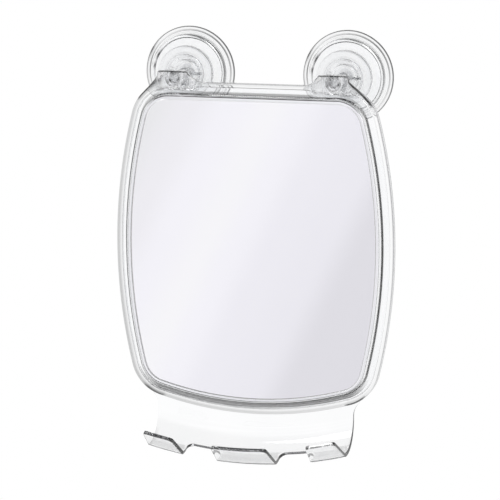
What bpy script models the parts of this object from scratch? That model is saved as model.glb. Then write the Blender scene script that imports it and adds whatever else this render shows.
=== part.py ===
"""Fogless shower mirror on two twist-lock suction cups, with a razor hook rail.

Metres, +Z up. The origin is on the wall, midway between the two cup centres.
-Y is the front, +X is the viewer's right. The mirror hangs below the cups and tilts on their two balls.
"""
import math

import bmesh
import bpy
from mathutils import Vector

# Fits
GAP = 0.0003                    # clearance between pieces that touch or are bonded
OVERRUN = 0.0020                # how far a cutter passes the face that it cuts

# Places
CUP_INSET = 0.0277              # from the opening's widest place in to a cup's centre
CUP_RISE = 0.0126               # from the opening's top up to the cup centres
MIRROR_TO_WALL = 0.0395         # from the mirror's surface back to the wall

# Mirror opening, measured from its centre
OPENING_HALF_WIDTH = 0.0787
OPENING_TOP = 0.0903
OPENING_BOTTOM = 0.0960
OPENING_SIDE_RADIUS = 0.3174
OPENING_BOTTOM_RADIUS = 0.2056
OPENING_CORNER_RADIUS = 0.0157

# Frame section: widths outwards from the opening, depths back from the mirror's surface
LIP_WIDTH = 0.0021
LIP_PROUD = 0.0014
LIP_ROUND = 0.0005
SLOPE_WIDTH = 0.0012
FLANGE_DEPTH = 0.0029
BORDER_WIDTH = 0.0101
BORDER_ROUND = 0.0015
FRAME_WALL = 0.0019
SKIRT_WALL = 0.0030
FRAME_DEPTH = 0.0085

# What the frame holds
PANE_THICKNESS = 0.0030
PANE_OVERLAP = 0.0010
FILM_THICKNESS = 0.0002
FILM_MARGIN = 0.0004
PAD_THICKNESS = 0.0015
PAD_MARGIN = 0.0060
COVER_THICKNESS = 0.0018
COVER_WALL = 0.0020

# Ears that carry the ball pockets
EAR_TOP = 0.0045                # above the cup centres
EAR_FRONT_HALF_WIDTH = 0.0096
EAR_BACK_HALF_WIDTH = 0.0068
EAR_ROUND = 0.0010
EAR_FLARE = 0.0072              # radius of the inner flare
PIVOT_DEPTH = 0.0050            # ball centre behind the mirror's surface

# Ball, its seat in the ear and its stem
BALL_RADIUS = 0.0034
SEAT_WALL = 0.0010
SEAT_THROAT = 0.0029
SEAT_MOUTH = 0.0034
SEAT_FRONT_WALL = 0.0005
SEAT_SLOT_HALF_WIDTH = 0.0016
SEAT_SLOT_FLOOR = 0.0012        # above the ball's centre
NECK_RADIUS = 0.0013
NECK_ROOT_RADIUS = 0.0042
NECK_TAPER = 0.0080
STEM_FLANGE_RADIUS = 0.0124
STEM_FLANGE_THICKNESS = 0.0015
STEM_FLANGE_ROUND = 0.0005
STEM_RECESS = 0.0006

# Suction membrane
CUP_RADIUS = 0.0289
CUP_RIM_THICKNESS = 0.0020
CUP_RIM_ROUND = 0.0004
CUP_SEAL_WIDTH = 0.0050
CUP_RAMP_WIDTH = 0.0030
CUP_HOLLOW = 0.0009
CUP_WEB = 0.0017
BOSS_WALL = 0.0012
BOSS_LIP = 0.0011

# Pull stud and its cross pin
STUD_BASE_RADIUS = 0.0048
STUD_BASE_THICKNESS = 0.0008
STUD_SHAFT_RADIUS = 0.0028
STUD_HEAD = 0.0005
PIN_RADIUS = 0.0007
PIN_HALF_LENGTH = 0.0104
PULL_TRAVEL = 0.0016

# Cup housing, heights from the wall
HOUSING_RADIUS = 0.0234
HOUSING_WALL = 0.0018
HOUSING_EDGE_HEIGHT = 0.0050
HOUSING_SHOULDER_WIDTH = 0.0025
HOUSING_SHOULDER_HEIGHT = 0.0080
HOUSING_FACE_HEIGHT = 0.0086
HOUSING_ROOF_HEIGHT = 0.0064
RING_SEAT_HEIGHT = 0.0079
GUIDE_HEIGHT = 0.0080
GUIDE_THICKNESS = 0.0012
POST_RADIUS = 0.0084
POST_WALL = 0.0017

# Lock ring
RING_RADIUS = 0.0174
RING_RIM_WIDTH = 0.0018
RING_GROOVE_WIDTH = 0.0024
RING_GROOVE_ROOF = 0.0114       # height from the wall
RING_CROWN = 0.0009
RING_ROUND = 0.0014
RING_WALL = 0.0003              # ledge between the ramp and the ring's inner wall
RAMP_TURN_DEG = 90.0
RAMP_ENTRY_DEG = 15.0
NOTCH_START_DEG = 20.0
NOTCH_END_DEG = 60.0

# Hook rail: one bent sheet, heights at its middle
RAIL_THICKNESS = 0.0022
RAIL_INSET = 0.0155             # from the opening's widest place in to the rail's side
RAIL_FLARE = 0.0050             # radius that widens the panel where it meets the frame
PANEL_HEIGHT = 0.0247           # down to where the panel's plane and the hooks' floor would meet
PANEL_BEND_RADIUS = 0.0190
TROUGH_BACKSET = 0.0202         # from the panel's plane forward to the trough
TROUGH_FALL = 0.0023
TROUGH_BEND_RADIUS = 0.0028
HOOK_REACH = 0.0192             # from the trough forward to the lip
HOOK_RISE = 0.0121
HOOK_ARC_RADIUS = 0.2450        # the hooks' bottoms follow this arc
HOOK_GAP_DEPTH = 0.0124         # along the sheet from the gap's root to the trough
HOOK_GAP_RADIUS = 0.0045
MIDDLE_HOOK_TROUGH_HALF_WIDTH = 0.0188
MIDDLE_HOOK_LIP_HALF_WIDTH = 0.0175
SIDE_HOOK_TROUGH_WIDTH = 0.0221
SIDE_HOOK_LIP_WIDTH = 0.0183
SIDE_HOOK_LIP_INSET = 0.0023    # from the rail's side in to the lip's outer end
HOOK_TIP_ROUND = 0.0022

# Facets
CORNER_STEPS = 8
SIDE_STEPS = 12
BOTTOM_STEPS = 8
ROUND_STEPS = 3
FLARE_STEPS = 5
CUP_STEPS = 44
HOUSING_STEPS = 30
STEM_STEPS = 20
STUD_STEPS = 16
PIN_STEPS = 10
BALL_RINGS = 7
BEND_STEPS = 4
PANEL_BEND_STEPS = 8
RAMP_STEPS = 8
NOTCH_STEPS = 4
SIDE_COLUMNS = 4
GAP_COLUMNS = 3
MIDDLE_COLUMNS = 6
ROOT_ROWS = 3
TIP_ROW_SHARES = (1.0, 0.5, 0.13, 0.0)
FLARE_ROW_SHARES = (0.0, 0.05, 0.2, 0.5, 1.0)
SOFT_EDGE_DEG = 32.0            # faces that meet at less than this are shaded as one

# Worked out once from the sizes above
HALF_SPACING = OPENING_HALF_WIDTH - CUP_INSET
MIRROR_DROP = OPENING_TOP + CUP_RISE
PIVOT_HEIGHT = MIRROR_TO_WALL - PIVOT_DEPTH
WEB_FRONT = CUP_HOLLOW + CUP_WEB
STUD_BASE_FRONT = WEB_FRONT + GAP + STUD_BASE_THICKNESS
BOSS_POCKET_RADIUS = STUD_BASE_RADIUS + GAP
BOSS_POCKET_TOP = STUD_BASE_FRONT + GAP
SLOT_FLOOR = GUIDE_HEIGHT + GUIDE_THICKNESS
PIN_HEIGHT = SLOT_FLOOR + GAP + PIN_RADIUS
POST_TOP = PIN_HEIGHT + PULL_TRAVEL + PIN_RADIUS + GAP
STEM_FLANGE_BOTTOM = POST_TOP + GAP
STEM_FLANGE_TOP = STEM_FLANGE_BOTTOM + STEM_FLANGE_THICKNESS
RAMP_LOW = PIN_HEIGHT - PIN_RADIUS - GAP
RAMP_HIGH = RAMP_LOW + PULL_TRAVEL
RING_BORE = POST_RADIUS + GAP
RAMP_OUTER = PIN_HALF_LENGTH + GAP
SLOPE_FOOT = LIP_WIDTH + SLOPE_WIDTH
RAIL_PLANE_DEPTH = FRAME_DEPTH - RAIL_THICKNESS / 2
RAIL_HALF_WIDTH = OPENING_HALF_WIDTH - RAIL_INSET
SIDE_HOOK_TROUGH_INNER = RAIL_HALF_WIDTH - SIDE_HOOK_TROUGH_WIDTH
SIDE_HOOK_LIP_OUTER = RAIL_HALF_WIDTH - SIDE_HOOK_LIP_INSET
SIDE_HOOK_LIP_INNER = SIDE_HOOK_LIP_OUTER - SIDE_HOOK_LIP_WIDTH
HOOK_GAP_ROUND = min(HOOK_GAP_RADIUS, (SIDE_HOOK_TROUGH_INNER - MIDDLE_HOOK_TROUGH_HALF_WIDTH) / 2 - GAP)


# Small helpers

def clear_scene():
    """Remove whatever the scene holds."""
    for obj in list(bpy.data.objects):
        bpy.data.objects.remove(obj, do_unlink=True)


def material(name, colour, roughness, transmission=0.0, metallic=0.0):
    """A Principled material."""
    made = bpy.data.materials.new(name)
    made.use_nodes = True
    shader = made.node_tree.nodes["Principled BSDF"]
    shader.inputs["Base Color"].default_value = (*colour, 1.0)
    shader.inputs["Roughness"].default_value = roughness
    shader.inputs["Metallic"].default_value = metallic
    shader.inputs["Transmission Weight"].default_value = transmission
    made.diffuse_color = (*colour, 1.0)
    return made


def join_rows(bm, first, second):
    """Faces between two closed rows of vertices; a row of one vertex is a point."""
    count = max(len(first), len(second))
    for index in range(count):
        after = (index + 1) % count
        corners = [first[index % len(first)], first[after % len(first)]]
        corners += [second[after % len(second)], second[index % len(second)]]
        face = []
        for vert in corners:
            if vert not in face:
                face.append(vert)
        bm.faces.new(face)


def mesh_from_rows(name, rows, closed=False):
    """A closed mesh skinned over rows of points, joined end to end or capped at both ends."""
    bm = bmesh.new()
    made = [[bm.verts.new(point) for point in row] for row in rows]
    for first, second in zip(made, made[1:]):
        join_rows(bm, first, second)
    if closed:
        join_rows(bm, made[-1], made[0])
    else:
        for row in (made[0], made[-1]):
            if len(row) > 2:
                bm.faces.new(row)
    bmesh.ops.recalc_face_normals(bm, faces=bm.faces)
    mesh = bpy.data.meshes.new(name)
    bm.to_mesh(mesh)
    bm.free()
    return mesh


def add_object(name, mesh, finish, parent=None):
    """An object of this mesh, smooth where its faces meet softly, under its parent."""
    obj = bpy.data.objects.new(name, mesh)
    bpy.context.scene.collection.objects.link(obj)
    if not mesh.materials:
        mesh.materials.append(finish)
    mesh.shade_smooth()
    mesh.set_sharp_from_angle(angle=math.radians(SOFT_EDGE_DEG))
    obj.parent = parent
    return obj


def add_axis(name, x, y, z):
    """An empty on a joint's axis."""
    empty = bpy.data.objects.new(name, None)
    empty.location = (x, y, z)
    bpy.context.scene.collection.objects.link(empty)
    return empty


def add_tool(name, mesh, finish, parent=None):
    """A solid that only cuts or joins, left out of the model."""
    tool = add_object(name, mesh, finish, parent)
    tool.hide_render = True
    tool.display_type = "WIRE"
    return tool


def combine(obj, tool, operation):
    """Cut the tool from the object, or join it on."""
    modifier = obj.modifiers.new(tool.name, "BOOLEAN")
    modifier.operation = operation
    modifier.solver = "EXACT"
    modifier.object = tool


def turned_rows(profile, steps):
    """Rows about the Y axis from (radius, height) points; height runs from the wall to the front."""
    rows = []
    for radius, height in profile:
        if radius == 0:
            rows.append([(0, -height, 0)])
            continue
        row = []
        for step in range(steps):
            angle = 2 * math.pi * step / steps
            row.append((radius * math.cos(angle), -height, radius * math.sin(angle)))
        rows.append(row)
    return rows


def arc_points(centre, radius, start_deg, end_deg, steps):
    """Points on an arc, ends included."""
    points = []
    for step in range(steps + 1):
        angle = math.radians(start_deg + (end_deg - start_deg) * step / steps)
        points.append((centre[0] + radius * math.cos(angle), centre[1] + radius * math.sin(angle)))
    return points


def direction_deg(start, end):
    """The direction from one point to another, in degrees."""
    return math.degrees(math.atan2(end[1] - start[1], end[0] - start[0]))


def lower_meeting(first, first_radius, second, second_radius):
    """The lower of the two points where two circles meet."""
    across = Vector(second) - Vector(first)
    along = (first_radius ** 2 - second_radius ** 2 + across.length ** 2) / (2 * across.length)
    aside = math.sqrt(first_radius ** 2 - along ** 2)
    unit = across.normalized()
    foot = Vector(first) + unit * along
    return min((foot + Vector((-unit.y, unit.x)) * side * aside for side in (1, -1)), key=lambda p: p.y)


# Outline of the mirror opening, its centre at zero

SIDE_CENTRE = (OPENING_HALF_WIDTH - OPENING_SIDE_RADIUS, 0)
BOTTOM_CENTRE = (0, OPENING_BOTTOM_RADIUS - OPENING_BOTTOM)
TOP_CORNER_Z = OPENING_TOP - OPENING_CORNER_RADIUS
TOP_CORNER_X = SIDE_CENTRE[0] + math.sqrt(
    (OPENING_SIDE_RADIUS - OPENING_CORNER_RADIUS) ** 2 - TOP_CORNER_Z ** 2)
TOP_CORNER = (TOP_CORNER_X, TOP_CORNER_Z)
BOTTOM_CORNER = lower_meeting(
    SIDE_CENTRE, OPENING_SIDE_RADIUS - OPENING_CORNER_RADIUS,
    BOTTOM_CENTRE, OPENING_BOTTOM_RADIUS - OPENING_CORNER_RADIUS)


def opening_outline(offset):
    """The opening's outline moved outwards, from the right end of its straight top, clockwise."""
    side_start = direction_deg(SIDE_CENTRE, TOP_CORNER)
    side_end = direction_deg(SIDE_CENTRE, BOTTOM_CORNER)
    bottom_start = direction_deg(BOTTOM_CENTRE, BOTTOM_CORNER)
    corner = OPENING_CORNER_RADIUS + offset
    right = arc_points(TOP_CORNER, corner, 90, side_start, CORNER_STEPS)
    right += arc_points(SIDE_CENTRE, OPENING_SIDE_RADIUS + offset, side_start, side_end, SIDE_STEPS)[1:]
    right += arc_points(BOTTOM_CORNER, corner, side_end, bottom_start, CORNER_STEPS)[1:]
    right += arc_points(BOTTOM_CENTRE, OPENING_BOTTOM_RADIUS + offset, bottom_start, -90, BOTTOM_STEPS)[1:]
    left = [(-x, z) for x, z in reversed(right[:-1])]
    return right + left


def bottom_edge(x, offset):
    """Height of the outline's lower side above the mirror's centre, at x."""
    x = abs(x)
    bottom_end = BOTTOM_CORNER[0] * (OPENING_BOTTOM_RADIUS + offset) / (
        OPENING_BOTTOM_RADIUS - OPENING_CORNER_RADIUS)
    if x <= bottom_end:
        return BOTTOM_CENTRE[1] - math.sqrt((OPENING_BOTTOM_RADIUS + offset) ** 2 - x ** 2)
    reach = x - BOTTOM_CORNER[0]
    return BOTTOM_CORNER[1] - math.sqrt((OPENING_CORNER_RADIUS + offset) ** 2 - reach ** 2)


def in_frame(x, depth, z):
    """A point given from the mirror's centre and surface, depth running back to the wall."""
    return (x, depth - MIRROR_TO_WALL, z - MIRROR_DROP)


def outline_rows(section):
    """Rows round the opening from (offset, depth) points."""
    return [[in_frame(x, depth, z) for x, z in opening_outline(offset)] for offset, depth in section]


# Frame, and what it holds

def frame_section():
    """The frame's moulded section: lip, slope, flange and skirt, all of one wall."""
    slope_start = LIP_ROUND - LIP_PROUD
    slope_rise = FLANGE_DEPTH - slope_start
    slope_wall = FRAME_WALL * math.hypot(SLOPE_WIDTH, slope_rise) / SLOPE_WIDTH
    pane_wall = PANE_OVERLAP + GAP
    flange_back = FLANGE_DEPTH + FRAME_WALL
    flange_inner = LIP_WIDTH + (flange_back - slope_wall - slope_start) * SLOPE_WIDTH / slope_rise
    pocket_back = slope_start + slope_wall + (pane_wall - LIP_WIDTH) * slope_rise / SLOPE_WIDTH
    section = [(0, -GAP), (0, slope_start), (LIP_ROUND, -LIP_PROUD)]
    section += [(LIP_WIDTH - LIP_ROUND, -LIP_PROUD), (LIP_WIDTH, slope_start)]
    section += [(SLOPE_FOOT, FLANGE_DEPTH)]
    section += arc_points(
        (BORDER_WIDTH - BORDER_ROUND, FLANGE_DEPTH + BORDER_ROUND), BORDER_ROUND, -90, 0, ROUND_STEPS)
    section += [(BORDER_WIDTH, FRAME_DEPTH), (BORDER_WIDTH - SKIRT_WALL, FRAME_DEPTH)]
    section += [(BORDER_WIDTH - SKIRT_WALL, flange_back), (flange_inner, flange_back)]
    section += [(pane_wall, pocket_back), (pane_wall, -GAP)]
    return section


def ear_outline(half_width):
    """An ear's upper outline beside its centre: inner flare, top, outer flare into the corner."""
    top = EAR_TOP + MIRROR_DROP
    edge = OPENING_TOP + BORDER_WIDTH - FRAME_WALL / 4
    side_top = top - EAR_ROUND
    corner = OPENING_CORNER_RADIUS + BORDER_WIDTH - FRAME_WALL / 4
    corner_x = TOP_CORNER[0] - HALF_SPACING
    rise = side_top - TOP_CORNER[1]
    beside = half_width - corner_x
    outer = (rise ** 2 - corner ** 2 + beside ** 2) / (2 * (corner - beside))
    outer_centre = (half_width + outer, side_top)
    meeting = direction_deg((corner_x, TOP_CORNER[1]), outer_centre)
    start = math.degrees(math.acos(min((side_top - edge) / EAR_FLARE, 1.0)))
    points = arc_points((-half_width - EAR_FLARE, edge + EAR_FLARE), EAR_FLARE, -90, -start, FLARE_STEPS)
    points += arc_points((EAR_ROUND - half_width, side_top), EAR_ROUND, 180, 90, ROUND_STEPS)
    points += arc_points((half_width - EAR_ROUND, side_top), EAR_ROUND, 90, 0, ROUND_STEPS)
    points += arc_points(outer_centre, outer, 180, 180 + meeting, FLARE_STEPS)[1:]
    return points


def below_ear(point, offset):
    """The point of the offset outline that lies under a point of the ear, towards the opening."""
    corner_x = TOP_CORNER[0] - HALF_SPACING
    if point[0] <= corner_x:
        return (point[0], OPENING_TOP + offset)
    away = Vector((point[0] - corner_x, point[1] - TOP_CORNER[1])).normalized()
    reach = away * (OPENING_CORNER_RADIUS + offset)
    return (corner_x + reach.x, TOP_CORNER[1] + reach.y)


def ear_rows(side):
    """Sections across the ear from flare to flare; its front stands proud and slopes to the flange."""
    front = ear_outline(EAR_FRONT_HALF_WIDTH)
    back = ear_outline(EAR_BACK_HALF_WIDTH)
    buried = FLANGE_DEPTH + FRAME_WALL / 4
    web_back = FLANGE_DEPTH + FRAME_WALL / 2
    root = BORDER_WIDTH - SKIRT_WALL / 2
    foot = SLOPE_FOOT + FRAME_WALL / 4
    rows = []
    for fore, aft in zip(front, back):
        end = front[-1][0] if fore[0] > 0 else front[0][0]
        past = (abs(fore[0]) - EAR_FRONT_HALF_WIDTH) / (abs(end) - EAR_FRONT_HALF_WIDTH)
        proud = lerp(-LIP_PROUD, buried, past)
        shelf = below_ear(fore, root)
        toe = below_ear(fore, foot)
        heel = below_ear(aft, root)
        section = [(fore, proud), (shelf, proud), (toe, buried), (toe, web_back), (shelf, web_back)]
        section += [(heel, FRAME_DEPTH), (aft, FRAME_DEPTH)]
        rows.append([in_frame(side * (HALF_SPACING + x), depth, z) for (x, z), depth in section])
    return rows


def sphere_profile(radius, start, end):
    """Points down a sphere about the ball's centre, between two angles from its front."""
    points = []
    for ring in range(BALL_RINGS + 1):
        angle = start + (end - start) * ring / BALL_RINGS
        points.append((radius * math.sin(angle), PIVOT_HEIGHT + radius * math.cos(angle)))
    return points


def ball_pocket_profile():
    """The round pocket bored into an ear from behind; it breaks out at the ear's top as a slot."""
    radius = BALL_RADIUS + GAP + SEAT_WALL + GAP
    front = PIVOT_HEIGHT + BALL_RADIUS + GAP + SEAT_FRONT_WALL + GAP
    mouth = MIRROR_TO_WALL - FRAME_DEPTH - OVERRUN
    return [(0, front), (radius - SEAT_WALL, front), (radius, front - SEAT_WALL), (radius, mouth), (0, mouth)]


def seat_profile():
    """The seat that grips the ball: closed in front, narrowed behind the ball, open for the neck."""
    inner = BALL_RADIUS + GAP
    outer = inner + SEAT_WALL
    front = PIVOT_HEIGHT + inner + SEAT_FRONT_WALL
    back = MIRROR_TO_WALL - FRAME_DEPTH + GAP
    throat = math.pi - math.asin(SEAT_THROAT / inner)
    profile = [(0, front), (outer - SEAT_WALL, front), (outer, front - SEAT_WALL), (outer, back)]
    profile += [(SEAT_MOUTH, back)]
    profile += sphere_profile(inner, throat, 0)[:-1]
    profile.append((0, PIVOT_HEIGHT + inner))
    return profile


def make_frame(clear, tilt):
    """The moulded frame with its two ears and their ball pockets."""
    frame = add_object("frame_shell", mesh_from_rows("frame_shell", outline_rows(frame_section()), True),
                       clear)
    for side, word in ((-1, "left"), (1, "right")):
        ear = add_tool(word + "_ear", mesh_from_rows(word + "_ear", ear_rows(side)), clear)
        combine(frame, ear, "UNION")
    for side, word in ((-1, "left"), (1, "right")):
        pocket = add_tool(word + "_ball_pocket",
                          mesh_from_rows(word + "_ball_pocket",
                                         turned_rows(ball_pocket_profile(), STEM_STEPS)), clear)
        pocket.location.x = side * HALF_SPACING
        combine(frame, pocket, "DIFFERENCE")
    carry(frame, tilt)


def carry(obj, axis):
    """Hang an object, modelled in place, on a joint's axis."""
    obj.parent = axis
    obj.location = -axis.location


def make_layers(finishes, tilt):
    """The film, the mirror, its pad and the back cover, front to back."""
    film_front = -GAP - FILM_THICKNESS
    pad_front = PANE_THICKNESS + GAP
    cover_front = FRAME_DEPTH - COVER_THICKNESS
    cover_edge = BORDER_WIDTH - SKIRT_WALL - GAP
    cover_section = [(PANE_OVERLAP - COVER_WALL, cover_front), (PANE_OVERLAP - COVER_WALL, pad_front),
                     (PANE_OVERLAP, pad_front), (PANE_OVERLAP, cover_front),
                     (cover_edge, cover_front), (cover_edge, FRAME_DEPTH)]
    layers = {
        "antifog_film": ([(-FILM_MARGIN, film_front), (-FILM_MARGIN, -GAP)], "film"),
        "mirror_pane": ([(PANE_OVERLAP, 0), (PANE_OVERLAP, PANE_THICKNESS)], "mirror"),
        "backing_pad": ([(-PAD_MARGIN, pad_front), (-PAD_MARGIN, pad_front + PAD_THICKNESS)], "foam"),
        "back_cover": (cover_section, "clear"),
    }
    for name, (section, finish) in layers.items():
        carry(add_object(name, mesh_from_rows(name, outline_rows(section)), finishes[finish]), tilt)


def box_rows(low, high):
    """The two ends of a box between two corners, along X."""
    return [[(x, low[1], low[2]), (x, high[1], low[2]), (x, high[1], high[2]), (x, low[1], high[2])]
            for x in (low[0], high[0])]


def make_ball_seats(finish, tilt):
    """The slotted seat in each ear that the ball snaps into."""
    mesh = mesh_from_rows("ball_seat", turned_rows(seat_profile(), STEM_STEPS))
    slot_front = -PIVOT_HEIGHT
    slot_back = FRAME_DEPTH - MIRROR_TO_WALL + OVERRUN
    slot_top = BALL_RADIUS + SEAT_WALL + OVERRUN
    for side, word in ((-1, "left"), (1, "right")):
        slot = add_tool(word + "_seat_slot", mesh_from_rows(word + "_seat_slot", box_rows(
            (-SEAT_SLOT_HALF_WIDTH, slot_front, SEAT_SLOT_FLOOR),
            (SEAT_SLOT_HALF_WIDTH, slot_back, slot_top))), finish)
        slot.location.x = side * HALF_SPACING
        seat = add_object(word + "_ball_seat", mesh, finish)
        combine(seat, slot, "DIFFERENCE")
        carry(seat, tilt)
        seat.location.x += side * HALF_SPACING


# Hook rail

def rounded_path(corners, bends):
    """A path through (depth, drop) corners; each inner corner is a bend of (radius, steps)."""
    points = [Vector(corners[0])]
    for before, corner, after, (radius, steps) in zip(corners, corners[1:], corners[2:], bends):
        into = (Vector(corner) - Vector(before)).normalized()
        out = (Vector(after) - Vector(corner)).normalized()
        turn = into.angle(out)
        reach = radius * math.tan(turn / 2)
        bend_start = Vector(corner) - into * reach
        hand = 1 if into.x * out.y - into.y * out.x > 0 else -1
        normal = Vector((-into.y, into.x)) * hand
        for step in range(steps + 1):
            angle = turn * step / steps
            points.append(bend_start + into * radius * math.sin(angle)
                          + normal * radius * (1 - math.cos(angle)))
    points.append(Vector(corners[-1]))
    return points


def rail_path():
    """The sheet's middle line at the rail's centre: panel under the frame's skirt, trough, lip."""
    trough = (RAIL_PLANE_DEPTH - TROUGH_BACKSET, -PANEL_HEIGHT - TROUGH_FALL)
    corners = [(RAIL_PLANE_DEPTH, 0), (RAIL_PLANE_DEPTH, -PANEL_HEIGHT), trough]
    corners += [(trough[0] - HOOK_REACH, trough[1] + HOOK_RISE)]
    return rounded_path(corners, ((PANEL_BEND_RADIUS, PANEL_BEND_STEPS), (TROUGH_BEND_RADIUS, BEND_STEPS)))


def path_lengths(points):
    """How far along the path each point lies."""
    lengths = [0.0]
    for before, after in zip(points, points[1:]):
        lengths.append(lengths[-1] + (after - before).length)
    return lengths


def along_path(points, lengths, where):
    """The point at a distance along the path."""
    for index in range(1, len(points)):
        if where <= lengths[index] or index == len(points) - 1:
            share = (where - lengths[index - 1]) / (lengths[index] - lengths[index - 1])
            return points[index - 1].lerp(points[index], share)


def quarter_round(radius, from_edge):
    """How far a rounded corner stands back, at a distance from its edge."""
    if from_edge >= radius:
        return 0.0
    return radius - math.sqrt(radius ** 2 - (radius - from_edge) ** 2)


def lerp(start, end, share):
    """The value between two others."""
    return start + (end - start) * min(max(share, 0.0), 1.0)


def spread(start, end, count):
    """Evenly spaced values, ends included."""
    return [start + (end - start) * step / count for step in range(count + 1)]


def rail_places():
    """Distances along the path of the gaps' root, the trough and the lip."""
    points = rail_path()
    lengths = path_lengths(points)
    trough = (lengths[-2] + lengths[-2 - BEND_STEPS]) / 2
    return {"points": points, "lengths": lengths, "root": trough - HOOK_GAP_DEPTH, "trough": trough,
            "lip": lengths[-1]}


def rail_edges(place, where):
    """The sheet's edges at a distance along the path: pairs of left and right ends."""
    tip = quarter_round(HOOK_TIP_ROUND, place["lip"] - where)
    flare = quarter_round(RAIL_FLARE, where)
    past = (where - place["trough"]) / (place["lip"] - place["trough"])
    outer = lerp(RAIL_HALF_WIDTH, SIDE_HOOK_LIP_OUTER, past) + flare - tip
    if where < place["root"]:
        return [(-outer, outer)]
    fillet = quarter_round(HOOK_GAP_ROUND, where - place["root"])
    middle = lerp(MIDDLE_HOOK_TROUGH_HALF_WIDTH, MIDDLE_HOOK_LIP_HALF_WIDTH, past) + fillet - tip
    inner = lerp(SIDE_HOOK_TROUGH_INNER, SIDE_HOOK_LIP_INNER, past) - fillet + tip
    return [(-outer, -inner), (-middle, middle), (inner, outer)]


def rail_point(place, where, x):
    """A point of the sheet's middle surface; its heights follow the frame, then the hooks' arc."""
    depth, drop = along_path(place["points"], place["lengths"], where)
    offset = BORDER_WIDTH + GAP
    base = bottom_edge(0, offset)
    frame_rise = bottom_edge(x, offset) - base
    hook_rise = HOOK_ARC_RADIUS - math.sqrt(HOOK_ARC_RADIUS ** 2 - x ** 2)
    return in_frame(x, depth, base + drop + lerp(frame_rise, hook_rise, where / place["root"]))


def apart(values):
    """The values in order, without those closer than a gap to the one before."""
    kept = []
    for value in sorted(values):
        if not kept or value - kept[-1] > GAP:
            kept.append(value)
    return kept


def rail_mesh():
    """The rail's middle surface as a grid: whole down to the gaps' root, then three tabs."""
    place = rail_places()
    root = place["root"]
    root_rows = [root + HOOK_GAP_ROUND * (1 - math.cos(math.pi / 2 * (row + 1) / ROOT_ROWS))
                 for row in range(ROOT_ROWS)]
    tip_rows = [place["lip"] - HOOK_TIP_ROUND * share for share in TIP_ROW_SHARES]
    flare_rows = [RAIL_FLARE * share for share in FLARE_ROW_SHARES]
    upper = apart([where for where in place["lengths"] if RAIL_FLARE < where < root - GAP] + flare_rows)
    upper.append(root)
    lower = [where for where in place["lengths"] if root_rows[-1] + GAP < where < tip_rows[0] - GAP]
    lower = apart(lower + root_rows) + tip_rows
    bm = bmesh.new()
    edges = rail_edges(place, root)
    xs_root = spread(*edges[0], SIDE_COLUMNS)
    xs_root += spread(edges[0][1], edges[1][0], GAP_COLUMNS)[1:-1]
    xs_root += spread(*edges[1], MIDDLE_COLUMNS)
    xs_root += spread(edges[1][1], edges[2][0], GAP_COLUMNS)[1:-1]
    xs_root += spread(*edges[2], SIDE_COLUMNS)
    above = None
    for where in upper:
        half = rail_edges(place, where)[0][1] if where < root else edges[2][1]
        scale = half / edges[2][1]
        row = [bm.verts.new(rail_point(place, where, x * scale)) for x in xs_root]
        if above:
            for index in range(len(row) - 1):
                bm.faces.new((above[index], above[index + 1], row[index + 1], row[index]))
        above = row
    starts = (0, SIDE_COLUMNS + GAP_COLUMNS, SIDE_COLUMNS + MIDDLE_COLUMNS + 2 * GAP_COLUMNS)
    for tab, (start, columns) in enumerate(zip(starts, (SIDE_COLUMNS, MIDDLE_COLUMNS, SIDE_COLUMNS))):
        last = above[start:start + columns + 1]
        for where in lower:
            xs = spread(*rail_edges(place, where)[tab], columns)
            row = [bm.verts.new(rail_point(place, where, x)) for x in xs]
            for index in range(columns):
                bm.faces.new((last[index], last[index + 1], row[index + 1], row[index]))
            last = row
    bmesh.ops.recalc_face_normals(bm, faces=bm.faces)
    mesh = bpy.data.meshes.new("hook_rail")
    bm.to_mesh(mesh)
    bm.free()
    return mesh


def make_hook_rail(clear, tilt):
    """The bent sheet below the frame, with three tabs that hold razors."""
    rail = add_object("hook_rail", rail_mesh(), clear)
    wall = rail.modifiers.new("wall", "SOLIDIFY")
    wall.thickness = RAIL_THICKNESS
    wall.offset = 0
    wall.use_even_offset = True
    carry(rail, tilt)


# Suction cups

def membrane_profile():
    """The soft disc: flat seal on the wall, hollow middle, boss that holds the stud's base."""
    seal = CUP_RADIUS - CUP_SEAL_WIDTH
    ramp = seal - CUP_RAMP_WIDTH
    boss = BOSS_POCKET_RADIUS + BOSS_WALL
    neck = STUD_SHAFT_RADIUS + GAP
    boss_top = BOSS_POCKET_TOP + BOSS_LIP
    profile = [(0, CUP_HOLLOW), (ramp, CUP_HOLLOW), (seal, 0), (CUP_RADIUS - CUP_RIM_ROUND, 0)]
    profile += [(CUP_RADIUS, CUP_RIM_ROUND), (CUP_RADIUS, CUP_RIM_THICKNESS - CUP_RIM_ROUND)]
    profile += [(CUP_RADIUS - CUP_RIM_ROUND, CUP_RIM_THICKNESS), (seal, CUP_RIM_THICKNESS)]
    profile += [(ramp, WEB_FRONT), (boss, WEB_FRONT), (boss, boss_top), (neck, boss_top)]
    profile += [(neck, BOSS_POCKET_TOP), (BOSS_POCKET_RADIUS, BOSS_POCKET_TOP)]
    profile += [(BOSS_POCKET_RADIUS, WEB_FRONT), (0, WEB_FRONT)]
    return profile


def stud_profile():
    """The pull stud: a base in the membrane's boss and a shaft up through the housing."""
    base = WEB_FRONT + GAP
    top = PIN_HEIGHT + PIN_RADIUS + STUD_HEAD + GAP
    return [(0, base), (STUD_BASE_RADIUS, base), (STUD_BASE_RADIUS, STUD_BASE_FRONT),
            (STUD_SHAFT_RADIUS, STUD_BASE_FRONT), (STUD_SHAFT_RADIUS, top), (0, top)]


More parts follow.
